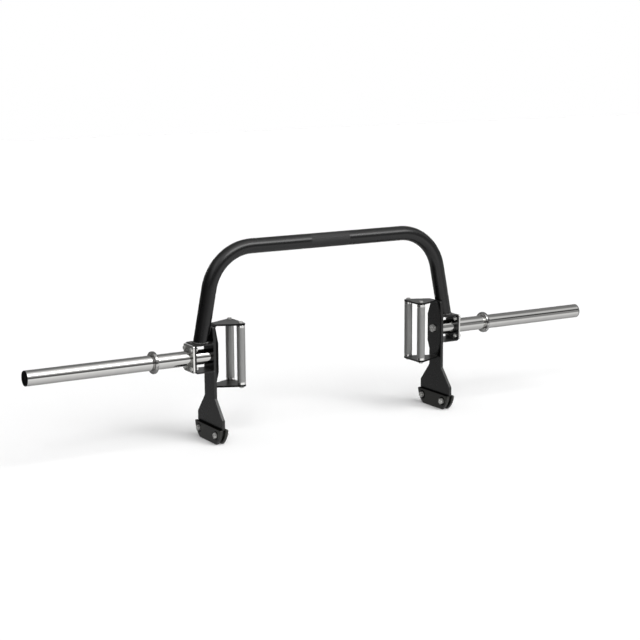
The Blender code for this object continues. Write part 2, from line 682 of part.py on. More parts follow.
def add_left_side(pieces):
    """Hang the right-hand pieces on an empty, and copies of them on one turned half a turn."""
    empties = []
    for side, turn in (("right_side", 0), ("left_side", math.pi)):
        empty = bpy.data.objects.new(side, None)
        empty.rotation_euler = (0, 0, turn)
        bpy.context.scene.collection.objects.link(empty)
        empties.append(empty)
    for part in pieces:
        name = other_side_name(part.name)
        copy = bpy.data.objects.new(name, evaluated_mesh(part))
        copy.matrix_world = part.matrix_world
        material = part.data.materials[0].copy()
        material.name = name
        copy.data.materials[0] = material
        PARTS.objects.link(copy)
        part.parent, copy.parent = empties


def main():
    """Build the whole bar."""
    right = [make_upright(), make_sleeve_bracket(), make_handle_bracket()]
    right += make_grips()
    right += make_flange()
    right += make_sleeve()
    right += make_foot()
    add_left_side(right)
    make_arch()


clear_scene()
PARTS = new_collection("open_trap_bar")
CUTTERS = new_collection("cutters")
main()
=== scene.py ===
# %% [markdown]
# # An open trap bar, standing on its own feet
#
# A trap bar is a lifting bar with a space in the middle for the lifter to stand in. This
# one is open to the front and the back: the two sides are joined by an arch that passes
# over the lifter's legs. The solids give every piece its place and size. This lesson
# gives each piece its finished shape, its finish and its light.

# %% Load the solids
import math

import bmesh
import bpy
from mathutils import Matrix, Vector


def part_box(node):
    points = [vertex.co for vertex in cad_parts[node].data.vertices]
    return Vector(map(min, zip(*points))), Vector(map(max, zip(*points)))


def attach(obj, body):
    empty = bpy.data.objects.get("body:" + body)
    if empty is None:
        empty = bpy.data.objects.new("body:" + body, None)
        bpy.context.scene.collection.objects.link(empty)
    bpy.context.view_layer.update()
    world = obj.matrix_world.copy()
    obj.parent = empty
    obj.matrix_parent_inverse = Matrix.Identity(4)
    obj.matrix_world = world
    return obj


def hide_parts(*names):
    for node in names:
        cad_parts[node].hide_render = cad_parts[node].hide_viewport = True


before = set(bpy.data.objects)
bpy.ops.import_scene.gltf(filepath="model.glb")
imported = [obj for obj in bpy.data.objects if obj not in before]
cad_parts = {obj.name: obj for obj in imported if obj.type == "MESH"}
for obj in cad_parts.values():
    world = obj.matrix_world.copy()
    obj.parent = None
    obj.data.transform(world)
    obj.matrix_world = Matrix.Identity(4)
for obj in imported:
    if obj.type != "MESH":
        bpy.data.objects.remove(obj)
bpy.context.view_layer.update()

# %% [markdown]
# ## Measures
#
# A few boxes of the solids give the places that everything else refers to: the uprights
# stand where the upright plate stands, and the sleeves lie on the axis of the sleeve
# tube. Typing the places in again would work too, but then a change of the solids would
# leave the finished pieces behind. The right side is modelled at +X. The left side is the
# same side turned half a turn about the upright line at the origin, as on the real bar, so
# each shape is made once.

# %% Places read from the solids
def centre_of(node):
    """Middle of a solid's box."""
    low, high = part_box(node)
    return (low + high) / 2


def size_along(node, axis):
    """Length of a solid along X, Y or Z, which are 0, 1 and 2."""
    low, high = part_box(node)
    return high[axis] - low[axis]


MM = 0.001
upright_low, upright_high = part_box("upright_plate_right")
bracket_low, bracket_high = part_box("sleeve_bracket_right")
flange_low, flange_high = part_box("flange_plate_right")
tube_low, tube_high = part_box("sleeve_tube_right")
grip_low, grip_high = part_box("grip_front_right")
SLEEVE_Z = (tube_low.z + tube_high.z) / 2
BRACKET_TOP = bracket_high.z
GRIP_X = (grip_low.x + grip_high.x) / 2
GRIP_Y = abs((grip_low.y + grip_high.y) / 2)
HALF_TURN = Matrix.Rotation(math.pi, 4, "Z")
print("sleeve axis at", round(SLEEVE_Z, 4), "grips at", round(GRIP_X, 4), round(GRIP_Y, 4))

# %% [markdown]
# ## Camera
#
# The photograph looks at the bar from its front left, a little from above, through a long
# lens. A camera's matrix holds the directions of its right, up and back in its columns,
# so the viewing angle is turned into those three directions and the position is the
# fourth column. Angles and place were fitted to corners of the bar that show in the
# photograph.

# %% Camera at the photograph's angle
camera_place = Vector((-2.6705, -4.4512, 1.3360))
yaw = math.radians(30.66)
pitch = math.radians(10.65)
roll = math.radians(-0.32)
ahead = Vector((math.sin(yaw) * math.cos(pitch), math.cos(yaw) * math.cos(pitch),
                -math.sin(pitch)))
level_right = Vector((math.cos(yaw), -math.sin(yaw), 0))
level_up = level_right.cross(ahead)
right = math.cos(roll) * level_right + math.sin(roll) * level_up
up = math.cos(roll) * level_up - math.sin(roll) * level_right
camera_data = bpy.data.cameras.new("photograph_camera")
camera_data.sensor_width = 36
camera_data.lens = 86.80
camera_data.clip_end = 60
camera = bpy.data.objects.new("photograph_camera", camera_data)
bpy.context.scene.collection.objects.link(camera)
turn = Matrix((right, up, -ahead)).transposed().to_4x4()
camera.matrix_world = Matrix.Translation(camera_place) @ turn
bpy.context.scene.camera = camera
print("camera stands", round(camera.matrix_world.translation.length, 2), "m from the origin")

# %% [markdown]
# ## Node helpers
#
# Materials below are built from a few kinds of node. One helper adds a node and sets its
# inputs, and another makes a group with named sockets, so that an effect that several
# finishes share is made once. Every pattern is laid out in a piece's own coordinates, so it
# stays on the piece wherever the piece goes.

# %% Helpers that place nodes
def feed(tree, socket, value):
    """Give a socket a link or a plain value."""
    if isinstance(value, bpy.types.NodeSocket):
        tree.links.new(value, socket)
    else:
        socket.default_value = value


def add_node(tree, kind, inputs=None, **settings):
    """A node with its settings and its input values or links."""
    node = tree.nodes.new(kind)
    for name, value in settings.items():
        setattr(node, name, value)
    for name, value in (inputs or {}).items():
        feed(tree, node.inputs[name], value)
    return node


def own_place(tree):
    """A piece's own coordinates."""
    return tree.nodes.new("ShaderNodeTexCoord").outputs["Object"]


def new_group(name, inputs, outputs):
    """A shader group; inputs are (name, kind, value) and outputs (name, kind)."""
    group = bpy.data.node_groups.new(name, "ShaderNodeTree")
    for label, kind, value in inputs:
        socket = group.interface.new_socket(label, in_out="INPUT", socket_type=kind)
        if value is not None:
            socket.default_value = value
    for label, kind in outputs:
        group.interface.new_socket(label, in_out="OUTPUT", socket_type=kind)
    return group, group.nodes.new("NodeGroupInput"), group.nodes.new("NodeGroupOutput")


def use_group(tree, group, **inputs):
    """Place a group in a material; words in input names are joined by underscores."""
    node = tree.nodes.new("ShaderNodeGroup")
    node.node_tree = group
    for name, value in inputs.items():
        feed(tree, node.inputs[name.replace("_", " ")], value)
    return node


def math_node(tree, operation, first, second=0.0, third=0.0):
    """The result of one arithmetic step on numbers or links."""
    node = tree.nodes.new("ShaderNodeMath")
    node.operation = operation
    for socket, value in zip(node.inputs, (first, second, third)):
        feed(tree, socket, value)
    return node.outputs[0]


print("helpers ready")

# %% [markdown]
# ## Shared effects
#
# Powder coat, plastic and plating all have a fine surface grain: powder melts into a skin
# like orange peel. It is noise at the size of the grains, put out as a height for a Bump
# node. Two sizes are added, because a single one looks like a printed pattern. The wider
# grains are about three times as wide, and they stand higher.

# %% Fine grain
WIDE_SCALE = 0.31
WIDE_HEIGHT = 1.4


def make_fine_grain():
    """Height of a surface's fine grain, from the piece's own coordinates."""
    group, given, result = new_group(
        "fine_grain", [("Grains per Metre", "NodeSocketFloat", 900.0)],
        [("Height", "NodeSocketFloat")])
    own = own_place(group)
    fine = add_node(group, "ShaderNodeTexNoise",
                    {"Vector": own, "Scale": given.outputs[0], "Detail": 2.0})
    wide_scale = math_node(group, "MULTIPLY", given.outputs[0], WIDE_SCALE)
    wide = add_node(group, "ShaderNodeTexNoise",
                    {"Vector": own, "Scale": wide_scale, "Detail": 1.0})
    both = math_node(group, "MULTIPLY_ADD", wide.outputs["Fac"], WIDE_HEIGHT, fine.outputs["Fac"])
    group.links.new(both, result.inputs["Height"])
    return group


fine_grain = make_fine_grain()
print(fine_grain.name, "made")

# %% [markdown]
# Metal that is handled is never evenly clean. Patches of haze, a few centimetres wide,
# change how sharply it mirrors. The mask is a soft noise whose contrast is raised.

# %% Patches of haze
def make_haze():
    """A soft mask of uneven patches, from 0 to 1."""
    group, given, result = new_group(
        "haze_patches",
        [("Patches per Metre", "NodeSocketFloat", 25.0), ("Contrast", "NodeSocketFloat", 2.0)],
        [("Mask", "NodeSocketFloat")])
    own = own_place(group)
    noise = add_node(group, "ShaderNodeTexNoise",
                     {"Vector": own, "Scale": given.outputs[0], "Detail": 4.0,
                      "Roughness": 0.6, "Distortion": 0.4})
    centred = math_node(group, "SUBTRACT", noise.outputs["Fac"], 0.5)
    stretched = math_node(group, "MULTIPLY_ADD", centred, given.outputs[1], 0.5)
    clamped = add_node(group, "ShaderNodeClamp", {"Value": stretched})
    group.links.new(clamped.outputs[0], result.inputs["Mask"])
    return group


haze_patches = make_haze()
print(haze_patches.name, "made")

# %% [markdown]
# Edges wear first. A Bevel node gives the normal that the surface would have if its edges
# were rounded; where that differs from the real normal there is an edge. Noise breaks the
# line up, so that the wear comes and goes: where the noise is below a limit, the edge is
# whole.

# %% Edge wear
EDGE_GAIN = 9.0
WORN_FROM = 0.42
WORN_GAIN = 6.0


def make_edge_wear():
    """A broken mask along the edges of a piece."""
    group, given, result = new_group(
        "edge_wear",
        [("Width", "NodeSocketFloat", 0.001), ("Amount", "NodeSocketFloat", 0.5)],
        [("Mask", "NodeSocketFloat")])
    own = own_place(group)
    rounded = add_node(group, "ShaderNodeBevel", {"Radius": given.outputs[0]}, samples=6)
    plain = group.nodes.new("ShaderNodeNewGeometry").outputs["Normal"]
    likeness = add_node(group, "ShaderNodeVectorMath", operation="DOT_PRODUCT")
    group.links.new(rounded.outputs[0], likeness.inputs[0])
    group.links.new(plain, likeness.inputs[1])
    edge = math_node(group, "SUBTRACT", 1.0, likeness.outputs["Value"])
    strong = math_node(group, "MULTIPLY", edge, EDGE_GAIN)
    noise = add_node(group, "ShaderNodeTexNoise", {"Vector": own, "Scale": 160.0, "Detail": 5.0})
    broken = math_node(group, "SUBTRACT", noise.outputs["Fac"], WORN_FROM)
    gated = math_node(group, "MULTIPLY", math_node(group, "MULTIPLY", broken, WORN_GAIN), strong)
    amount = math_node(group, "MULTIPLY", gated, given.outputs[1])
    clamped = add_node(group, "ShaderNodeClamp", {"Value": amount})
    group.links.new(clamped.outputs[0], result.inputs["Mask"])
    return group


edge_wear = make_edge_wear()
print(edge_wear.name, "made")

# %% [markdown]
# Dust settles on what faces up. The normal's Z is 1 on a level top and 0 on a wall. Dust
# holds on slopes of up to 70 degrees, where it is 0.35, and a noise makes the film uneven.

# %% Settled dust
DUST_FROM = 0.35


def make_settled_dust():
    """A mask that is strongest on faces that look up."""
    group, given, result = new_group(
        "settled_dust", [("Amount", "NodeSocketFloat", 0.3)], [("Mask", "NodeSocketFloat")])
    own = own_place(group)
    facing = group.nodes.new("ShaderNodeNewGeometry").outputs["Normal"]
    parts = add_node(group, "ShaderNodeSeparateXYZ", {"Vector": facing})
    level = add_node(group, "ShaderNodeMapRange",
                     {"Value": parts.outputs["Z"], "From Min": DUST_FROM, "From Max": 1.0})
    noise = add_node(group, "ShaderNodeTexNoise", {"Vector": own, "Scale": 60.0, "Detail": 6.0})
    film = math_node(group, "MULTIPLY", level.outputs[0], noise.outputs["Fac"])
    amount = math_node(group, "MULTIPLY", film, given.outputs[0])
    group.links.new(amount, result.inputs["Mask"])
    return group


settled_dust = make_settled_dust()
print(settled_dust.name, "made")

# %% [markdown]
# Knurling is rolled into a bar by two wheels, whose helical grooves cross into small
# diamonds. On a real bar each diamond is a little pyramid. Here the two sets of grooves
# are triangle waves of the angle round the bar and the distance along it, and the height
# is the lower of the two. The group wants coordinates whose Z runs along the bar, centred
# on its axis, which a Mapping node in the material gives.

# %% Knurling
def make_knurling():
    """Height of crossed helical grooves round the Z axis of the coordinates given."""
    group, given, result = new_group(
        "knurling",
        [("Vector", "NodeSocketVector", None), ("Teeth Around", "NodeSocketFloat", 56.0),
         ("Pitch", "NodeSocketFloat", 0.0016), ("Half Length", "NodeSocketFloat", 0.09)],
        [("Height", "NodeSocketFloat"), ("Groove", "NodeSocketFloat")])
    vector, teeth, pitch, half_length = given.outputs[:4]
    parts = add_node(group, "ShaderNodeSeparateXYZ", {"Vector": vector})
    angle = math_node(group, "ARCTAN2", parts.outputs["Y"], parts.outputs["X"])
    turns = math_node(group, "DIVIDE", angle, 2 * math.pi)
    around = math_node(group, "MULTIPLY", turns, teeth)
    along = math_node(group, "DIVIDE", parts.outputs["Z"], pitch)
    ways = []
    for operation in ("ADD", "SUBTRACT"):
        lead = math_node(group, operation, around, along)
        ways.append(math_node(group, "PINGPONG", lead, 0.5))
    lower = math_node(group, "MINIMUM", ways[0], ways[1])
    height = math_node(group, "MULTIPLY", lower, 2.0)
    reach = math_node(group, "ABSOLUTE", parts.outputs["Z"])
    inside = math_node(group, "LESS_THAN", reach, half_length)
    kept = math_node(group, "MULTIPLY", height, inside)
    outside = math_node(group, "SUBTRACT", 1.0, inside)
    group.links.new(math_node(group, "ADD", kept, outside), result.inputs["Height"])
    depth = math_node(group, "SUBTRACT", 1.0, height)
    group.links.new(math_node(group, "MULTIPLY", depth, inside), result.inputs["Groove"])
    return group


knurling = make_knurling()
print(knurling.name, "made")

# %% [markdown]
# ## Finishes
#
# ### Painted shade inside the sleeve brackets
#
# The upright's face inside an open sleeve bracket lies in the bracket's shade, and that
# shade is painted into the coat. A mask marks that face by its place on the bar. There the
# coat's colour goes to black and Metallic goes up, because a black metal mirrors next to
# nothing.

# %% Painted shade inside the sleeve brackets
# Each pair says how far out the painted shade ends and where it is full.
SHADE_ACROSS = (37.5 * MM, 34 * MM)
SHADE_UP_AND_DOWN = (43.5 * MM, 40 * MM)
SHADE_INSIDE = (455.5 * MM, 456.5 * MM)
SHADE_OUTSIDE = (475 * MM, 462 * MM)


def make_painted_bracket_shade():
    """Mask of the painted shade on the uprights' faces inside the open brackets, from 0 to 1."""
    group, _, result = new_group("painted_bracket_shade", [], [("Mask", "NodeSocketFloat")])
    own = own_place(group)
    axes = add_node(group, "ShaderNodeSeparateXYZ", {"Vector": own})
    across = math_node(group, "ABSOLUTE", axes.outputs["Y"])
    level = math_node(group, "ABSOLUTE", math_node(group, "SUBTRACT", axes.outputs["Z"], SLEEVE_Z))
    away = math_node(group, "ABSOLUTE", axes.outputs["X"])
    mask = None
    for value, (ends, full) in ((across, SHADE_ACROSS), (level, SHADE_UP_AND_DOWN),
                                (away, SHADE_INSIDE), (away, SHADE_OUTSIDE)):
        part = add_node(group, "ShaderNodeMapRange",
                        {"Value": value, "From Min": ends, "From Max": full}).outputs[0]
        mask = part if mask is None else math_node(group, "MULTIPLY", mask, part)
    group.links.new(mask, result.inputs["Mask"])
    return group


painted_bracket_shade = make_painted_bracket_shade()
print(painted_bracket_shade.name, "made")

# %% [markdown]
# ### Painted shade round the feet's bolts
#
# The mould sinks the feet's pads a little round every bolt. The sunk ring is not in the
# shape; its shade is painted on as a dark ring. The front and the rear bolt stand the same
# way from the middle, so one circle, laid by the distance from the middle, serves them all.
# It is made dull in the same way as the painted shade inside the brackets.

# %% Painted shade round the feet's bolts
RING_SHADE_ENDS = 16.2 * MM
RING_SHADE_FULL = 15 * MM


def make_painted_ring_shade():
    """Mask of the painted shade round the feet's bolts, from 0 to 1."""
    group, _, result = new_group("bolt_rings", [], [("Mask", "NodeSocketFloat")])
    own = own_place(group)
    axes = add_node(group, "ShaderNodeSeparateXYZ", {"Vector": own})
    centre = centre_of("foot_bolt_front_right")
    side = math_node(group, "ABSOLUTE", axes.outputs["Y"])
    across = math_node(group, "SUBTRACT", side, abs(centre.y))
    up = math_node(group, "SUBTRACT", axes.outputs["Z"], centre.z)
    square = math_node(group, "MULTIPLY_ADD", across, across, math_node(group, "MULTIPLY", up, up))
    distance = math_node(group, "SQRT", square)
    mask = add_node(group, "ShaderNodeMapRange",
                    {"Value": distance, "From Min": RING_SHADE_ENDS, "From Max": RING_SHADE_FULL})
    group.links.new(mask.outputs[0], result.inputs["Mask"])
    return group


bolt_rings = make_painted_ring_shade()
print(bolt_rings.name, "made")

# %% [markdown]
# ### Steps that every finish shares
#
# A finish is a material with one shader, whose sockets take its colour, its roughness and
# its bumps. Heights are turned into bumps one on top of another: each new one starts from
# the normal that the last one left.

# %% Material, colour and bump helpers
def new_material(name):
    """An empty material with its Principled shader."""
    material = bpy.data.materials.new(name)
    material.use_nodes = True
    tree = material.node_tree
    return material, tree, tree.nodes["Principled BSDF"]


def mix_colour(tree, factor, first, second):
    """A colour between two others; each may be a value or a link."""
    node = tree.nodes.new("ShaderNodeMix")
    node.data_type = "RGBA"
    for number, value in ((0, factor), (6, first), (7, second)):
        feed(tree, node.inputs[number], value)
    return node.outputs[2]


def shaded(colour, factor):
    """A colour made lighter or darker."""
    return (colour[0] * factor, colour[1] * factor, colour[2] * factor, 1)


def raise_bumps(tree, shader, height, strength, distance):
    """Let a height shape the surface, on top of the bumps that it has already."""
    normal = shader.inputs["Normal"]
    inputs = {"Height": height, "Strength": strength, "Distance": distance}
    if normal.is_linked:
        inputs["Normal"] = normal.links[0].from_socket
    bump = add_node(tree, "ShaderNodeBump", inputs)
    tree.links.new(bump.outputs[0], normal)


print("finishes can be mixed")

# %% [markdown]
# ### Black powder coat
#
# The frame is sprayed with powder and baked. It is a deep, half-gloss black: nearly all
# the grey that one sees on it is mirrored, so the colour is close to nothing and the
# roughness is low. Orange peel, a film of dust on top and the odd rub on an edge keep it
# from looking like glass. If asked, the coat also carries painted shade inside the brackets.

# %% Black powder coat
FILM_OF_DUST = (0.16, 0.155, 0.145, 1)
RUBBED_COAT = (0.09, 0.09, 0.09, 1)
# BLACK and the next two numbers give the painted shade inside the brackets: its colour, how far it
# darkens the coat and how far it raises Metallic.
BLACK = (0, 0, 0, 1)
SHADE_DARKENS = 0.7
SHADE_METALLIC = 0.92


def powder_coat(name, colour, roughness, peel, index=1.5, with_bracket_shade=False):
    """Powder coat with orange peel, dust, worn edges and, if asked, painted shade inside the
    brackets.
    """
    material, tree, shader = new_material(name)
    patches = use_group(tree, haze_patches, Patches_per_Metre=9.0, Contrast=1.6).outputs[0]
    base = mix_colour(tree, patches, (*colour, 1), shaded(colour, 1.5))
    dust = use_group(tree, settled_dust, Amount=0.10).outputs[0]
    dusty = mix_colour(tree, dust, base, FILM_OF_DUST)
    wear = use_group(tree, edge_wear, Width=1.1 * MM, Amount=0.22).outputs[0]
    wear_and_painted_shade = mix_colour(tree, wear, dusty, RUBBED_COAT)
    # Painted shade: inside the sleeve brackets the coat goes towards black, and Metallic goes up
    # so that it mirrors next to nothing.
    if with_bracket_shade:
        shade_mask = use_group(tree, painted_bracket_shade).outputs[0]
        wear_and_painted_shade = mix_colour(tree, math_node(tree, "MULTIPLY", shade_mask, SHADE_DARKENS), wear_and_painted_shade, BLACK)
        tree.links.new(math_node(tree, "MULTIPLY", shade_mask, SHADE_METALLIC), shader.inputs["Metallic"])
    tree.links.new(wear_and_painted_shade, shader.inputs["Base Color"])
    rough = math_node(tree, "MULTIPLY_ADD", patches, 0.06, roughness)
    rougher = math_node(tree, "MULTIPLY_ADD", dust, 0.4, rough)
    tree.links.new(rougher, shader.inputs["Roughness"])
    grain = use_group(tree, fine_grain, Grains_per_Metre=1500.0).outputs[0]
    raise_bumps(tree, shader, grain, strength=peel, distance=0.06 * MM)
    shader.inputs["IOR"].default_value = index
    return material


black_coat = powder_coat("black_powder_coat", colour=(0.0018, 0.0018, 0.0019),
                         roughness=0.24, peel=0.25, with_bracket_shade=True)
print(black_coat.name, "made")

# %% [markdown]
# ### Coats with a character of their own
#
# Cut edges of the plates are a little paler: partly dust and light rubs that stay there,
# partly a painted sheen for the light that the edges catch. The shelves' laser-cut edges
# are dull. The weld beads are glossy, since the coat runs together in the hollows between
# the ripples. All three are the same recipe with other numbers. A low index of refraction
# mirrors less, and a high one more.

# %% Three more coats
# Partly painted sheen: the plate edges' paler colour stands in part for the light that they catch.
plate_edge_dust_and_sheen = powder_coat("black_coat_dust_and_painted_sheen_on_plate_edges", colour=(0.0065, 0.0065, 0.0064),
                              roughness=0.28, peel=0.25)
edge_coat = powder_coat("black_coat_on_cut_edges", colour=(0.0030, 0.0030, 0.0031),
                        roughness=0.40, peel=0.5, index=1.15)
bead_coat = powder_coat("black_coat_on_welds", colour=(0.0060, 0.0060, 0.0057),
                        roughness=0.22, peel=0.2, index=2.0)
print(plate_edge_dust_and_sheen.name, edge_coat.name, bead_coat.name)

# %% [markdown]
# ### Knurled hold on the arch
#
# The middle of the arch is knurled under its paint, so that the bar can be carried by it.
# The coat there is paler and duller, and its crossed grooves scatter the highlight. They
# could be cut into the shape, but thousands of teeth of a millimetre and a half would be
# slow, and from any usual distance they look the same as a height in the material.

# %% Knurled coat
def knurl_on_bar(tree, centre, turn_to_z, teeth, pitch, half_length):
    """The knurling of a round bar, by its centre and the turn that lays Z along it."""
    mapping = add_node(tree, "ShaderNodeMapping",
                       {"Vector": own_place(tree), "Location": centre, "Rotation": turn_to_z},
                       vector_type="TEXTURE")
    return use_group(tree, knurling, Vector=mapping.outputs[0], Teeth_Around=teeth,
                     Pitch=pitch, Half_Length=half_length)


def knurled_coat(name, **knurl):
    """Powder coat over knurling, which is given as for knurl_on_bar."""
    material = powder_coat(name, colour=(0.0050, 0.0050, 0.0052), roughness=0.42, peel=0.3)
    tree = material.node_tree
    height = knurl_on_bar(tree, **knurl).outputs["Height"]
    raise_bumps(tree, tree.nodes["Principled BSDF"], height, strength=1.0, distance=0.3 * MM)
    return material


TUBE = 25 * MM
arch_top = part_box("arch_tube")[1].z - TUBE
LAID_ALONG_X = (0, math.pi / 2, 0)
arch_hold_coat = knurled_coat("knurled_powder_coat", centre=(0, 0, arch_top),
                              turn_to_z=LAID_ALONG_X, teeth=96.0, pitch=1.7 * MM,
                              half_length=200 * MM)
print(arch_hold_coat.name, "made, arch axis at", round(arch_top, 4))

# %% [markdown]
# ### Chrome
#
# Sleeves, collars and flanges are chromed. Chrome is a mirror that is a little darker than
# silver. Haze makes it less sharp in patches. A sleeve is polished on a machine. The collar
# is darkened in strong patches: a painted reflection of the dark pattern that its rims
# mirror, with some stains of the bath. The flange, which nobody sees on a loaded bar,
# keeps most of the stains.

# %% Chrome plate
def chrome(name, tint, roughness, haze, contrast=2.0, stain_and_painted_reflection=0.0, rate=22.0):
    """Bright plating with patches of haze, which are darkened as well: stains, and on the collar a
    painted reflection.
    """
    material, tree, shader = new_material(name)
    patches = use_group(tree, haze_patches, Patches_per_Metre=rate, Contrast=contrast).outputs[0]
    plated = mix_colour(tree, patches, (*tint, 1), shaded(tint, 1 - stain_and_painted_reflection))
    tree.links.new(plated, shader.inputs["Base Color"])
    rough = math_node(tree, "MULTIPLY_ADD", patches, haze, roughness)
    tree.links.new(rough, shader.inputs["Roughness"])
    shader.inputs["Metallic"].default_value = 1.0
    grain = use_group(tree, fine_grain, Grains_per_Metre=500.0).outputs[0]
    raise_bumps(tree, shader, grain, strength=0.12, distance=0.03 * MM)
    return material


sleeve_chrome = chrome("sleeve_chrome", tint=(0.66, 0.655, 0.64), roughness=0.045,
                       haze=0.035, stain_and_painted_reflection=0.05)
# Painted reflection: the collar's strong dark patches stand for the dark pattern that its rims
# mirror.
collar_chrome = chrome("collar_chrome", tint=(0.70, 0.695, 0.68), roughness=0.045,
                       haze=0.09, contrast=4.5, stain_and_painted_reflection=0.60, rate=45.0)
flange_chrome = chrome("flange_chrome", tint=(0.46, 0.46, 0.44), roughness=0.12,
                       haze=0.20, contrast=4.0, stain_and_painted_reflection=0.55, rate=70.0)
# Painted highlight: the flange's rim is tinted paler than its face, for the light that the rim
# catches.
flange_rim_painted_highlight = chrome("flange_rim_painted_highlight", tint=(0.90, 0.89, 0.87), roughness=0.12,
                            haze=0.10, stain_and_painted_reflection=0.15)
band_chrome = chrome("grip_band_chrome", tint=(0.86, 0.855, 0.84), roughness=0.10,
                     haze=0.08, stain_and_painted_reflection=0.10)
print(sleeve_chrome.name, collar_chrome.name, flange_chrome.name)

# %% [markdown]
# ### Knurled chrome on the grips
#
# The grips are knurled between two smooth bands and then plated dull. The finish scatters
# a fifth of its light like paint does, which is why a grip shades off evenly from its lit
# side. The grooves take a darker colour, by their depth, and a height.

# %% Knurled chrome
# The colour that the grooves take, mixed in by their depth.
GROOVE_COLOUR = (0.10, 0.10, 0.095, 1)
GROOVE_SHARE = 0.22
STANDING = (0, 0, 0)


def knurled_chrome(name, **knurl):
    """Dull plating over knurling, which is given as for knurl_on_bar."""
    material = chrome(name, tint=(0.40, 0.40, 0.395), roughness=0.42, haze=0.08, stain_and_painted_reflection=0.10)
    tree = material.node_tree
    shader = tree.nodes["Principled BSDF"]
    shader.inputs["Metallic"].default_value = 0.79
    pattern = knurl_on_bar(tree, **knurl)
    plated = shader.inputs["Base Color"].links[0].from_socket
    groove = math_node(tree, "MULTIPLY", pattern.outputs["Groove"], GROOVE_SHARE)
    grooved = mix_colour(tree, groove, plated, GROOVE_COLOUR)
    tree.links.new(grooved, shader.inputs["Base Color"])
    raise_bumps(tree, shader, pattern.outputs["Height"], strength=0.6, distance=0.12 * MM)
    return material


print("knurled chrome ready")

# %% [markdown]
# ### Zinc
#
# Bolts, nuts and the sleeves' cores are zinc plated: a softer, slightly warm metal with cloudy
# crystals. A Voronoi texture gives the crystals their facets, and haze lies over them. Grime
# settles in patches, as it does on every bolt that a spanner has held. The edge mask serves
# as a height here, which makes the corners look nicked.

# %% Zinc plate
ZINC_BRIGHT = (0.95, 0.95, 0.93, 1)
ZINC_CLOUDED = (0.66, 0.655, 0.63, 1)
GRIME = (0.13, 0.13, 0.12, 1)
CRYSTAL_SHARE = 0.4
CLOUD_SHARE = 0.7
GRIME_SHARE = 0.65


def zinc(name):
    """Cloudy zinc plating under grime, which scatters a good quarter of its light."""
    material, tree, shader = new_material(name)
    crystals = add_node(tree, "ShaderNodeTexVoronoi", {"Vector": own_place(tree), "Scale": 900.0})
    cloud = use_group(tree, haze_patches, Patches_per_Metre=180.0, Contrast=2.5).outputs[0]
    both = math_node(tree, "MULTIPLY_ADD", crystals.outputs["Distance"], CRYSTAL_SHARE, cloud)
    clouded = math_node(tree, "MULTIPLY", both, CLOUD_SHARE)
    colour = mix_colour(tree, clouded, ZINC_BRIGHT, ZINC_CLOUDED)
    grime = use_group(tree, haze_patches, Patches_per_Metre=250.0, Contrast=3.0).outputs[0]
    soiled = mix_colour(tree, math_node(tree, "MULTIPLY", grime, GRIME_SHARE), colour, GRIME)
    tree.links.new(soiled, shader.inputs["Base Color"])
    tree.links.new(math_node(tree, "MULTIPLY_ADD", cloud, 0.15, 0.18), shader.inputs["Roughness"])
    shader.inputs["Metallic"].default_value = 0.72
    wear = use_group(tree, edge_wear, Width=0.4 * MM, Amount=0.3).outputs[0]
    raise_bumps(tree, shader, wear, strength=0.3, distance=0.05 * MM)
    return material


zinc_plate = zinc("zinc_plate")
print(zinc_plate.name, "made")

# %% [markdown]
# ### Black plastic
#
# Feet and end plugs are moulded black plastic with a fine spark-eroded grain. The feet's
# faces are smooth enough to mirror the room a little. The plugs are rough from the mould and
# look black, so their index of refraction is close to that of air. The feet's top faces are
# rough from the mould and get the same near black, as painted shade for the line between pad
# and plate.

# %% Moulded plastic
SCUFFED_PLASTIC = (0.08, 0.078, 0.072, 1)
# The painted shade round the feet's bolts: its colour and how far it raises Metallic.
RING_SHADE_COLOUR = (0.001, 0.001, 0.001, 1)
RING_SHADE_METALLIC = 0.98


def moulded_plastic(name, colour, roughness, index, with_ring_shade=False):
    """Black moulded plastic with a fine grain, and with painted shade round the bolts if asked."""
    material, tree, shader = new_material(name)
    patches = use_group(tree, haze_patches, Patches_per_Metre=30.0, Contrast=1.5).outputs[0]
    lighter = (colour[0] * 1.6, colour[1] * 1.6, colour[2] * 1.55, 1)
    base = mix_colour(tree, patches, (*colour, 1), lighter)
    scuffs = use_group(tree, edge_wear, Width=1.2 * MM, Amount=0.20).outputs[0]
    wear_and_painted_shade = mix_colour(tree, scuffs, base, SCUFFED_PLASTIC)
    shader.inputs["IOR"].default_value = index
    # Painted shade: a black ring round each bolt, where Metallic goes up so that it mirrors next
    # to nothing.
    if with_ring_shade:
        ring = use_group(tree, bolt_rings).outputs[0]
        wear_and_painted_shade = mix_colour(tree, ring, wear_and_painted_shade, RING_SHADE_COLOUR)
        tree.links.new(math_node(tree, "MULTIPLY", ring, RING_SHADE_METALLIC), shader.inputs["Metallic"])
    tree.links.new(wear_and_painted_shade, shader.inputs["Base Color"])
    rough = math_node(tree, "MULTIPLY_ADD", patches, 0.12, roughness)
    tree.links.new(rough, shader.inputs["Roughness"])
    grain = use_group(tree, fine_grain, Grains_per_Metre=2200.0).outputs[0]
    raise_bumps(tree, shader, grain, strength=0.6, distance=0.08 * MM)
    return material


foot_plastic = moulded_plastic("foot_plastic", colour=(0.0090, 0.0089, 0.0074),
                               roughness=0.28, index=1.5, with_ring_shade=True)
# Partly painted shade: the pads' top faces are near black and hardly mirror, for the line of shade
# between pad and plate.
foot_top_painted_shade = moulded_plastic("foot_plastic_from_mould", colour=(0.0016, 0.0016, 0.0014),
                           roughness=0.50, index=1.08)
plug_plastic = moulded_plastic("plug_plastic", colour=(0.0012, 0.0012, 0.0013),
                               roughness=0.45, index=1.08)
print(foot_plastic.name, foot_top_painted_shade.name, plug_plastic.name)

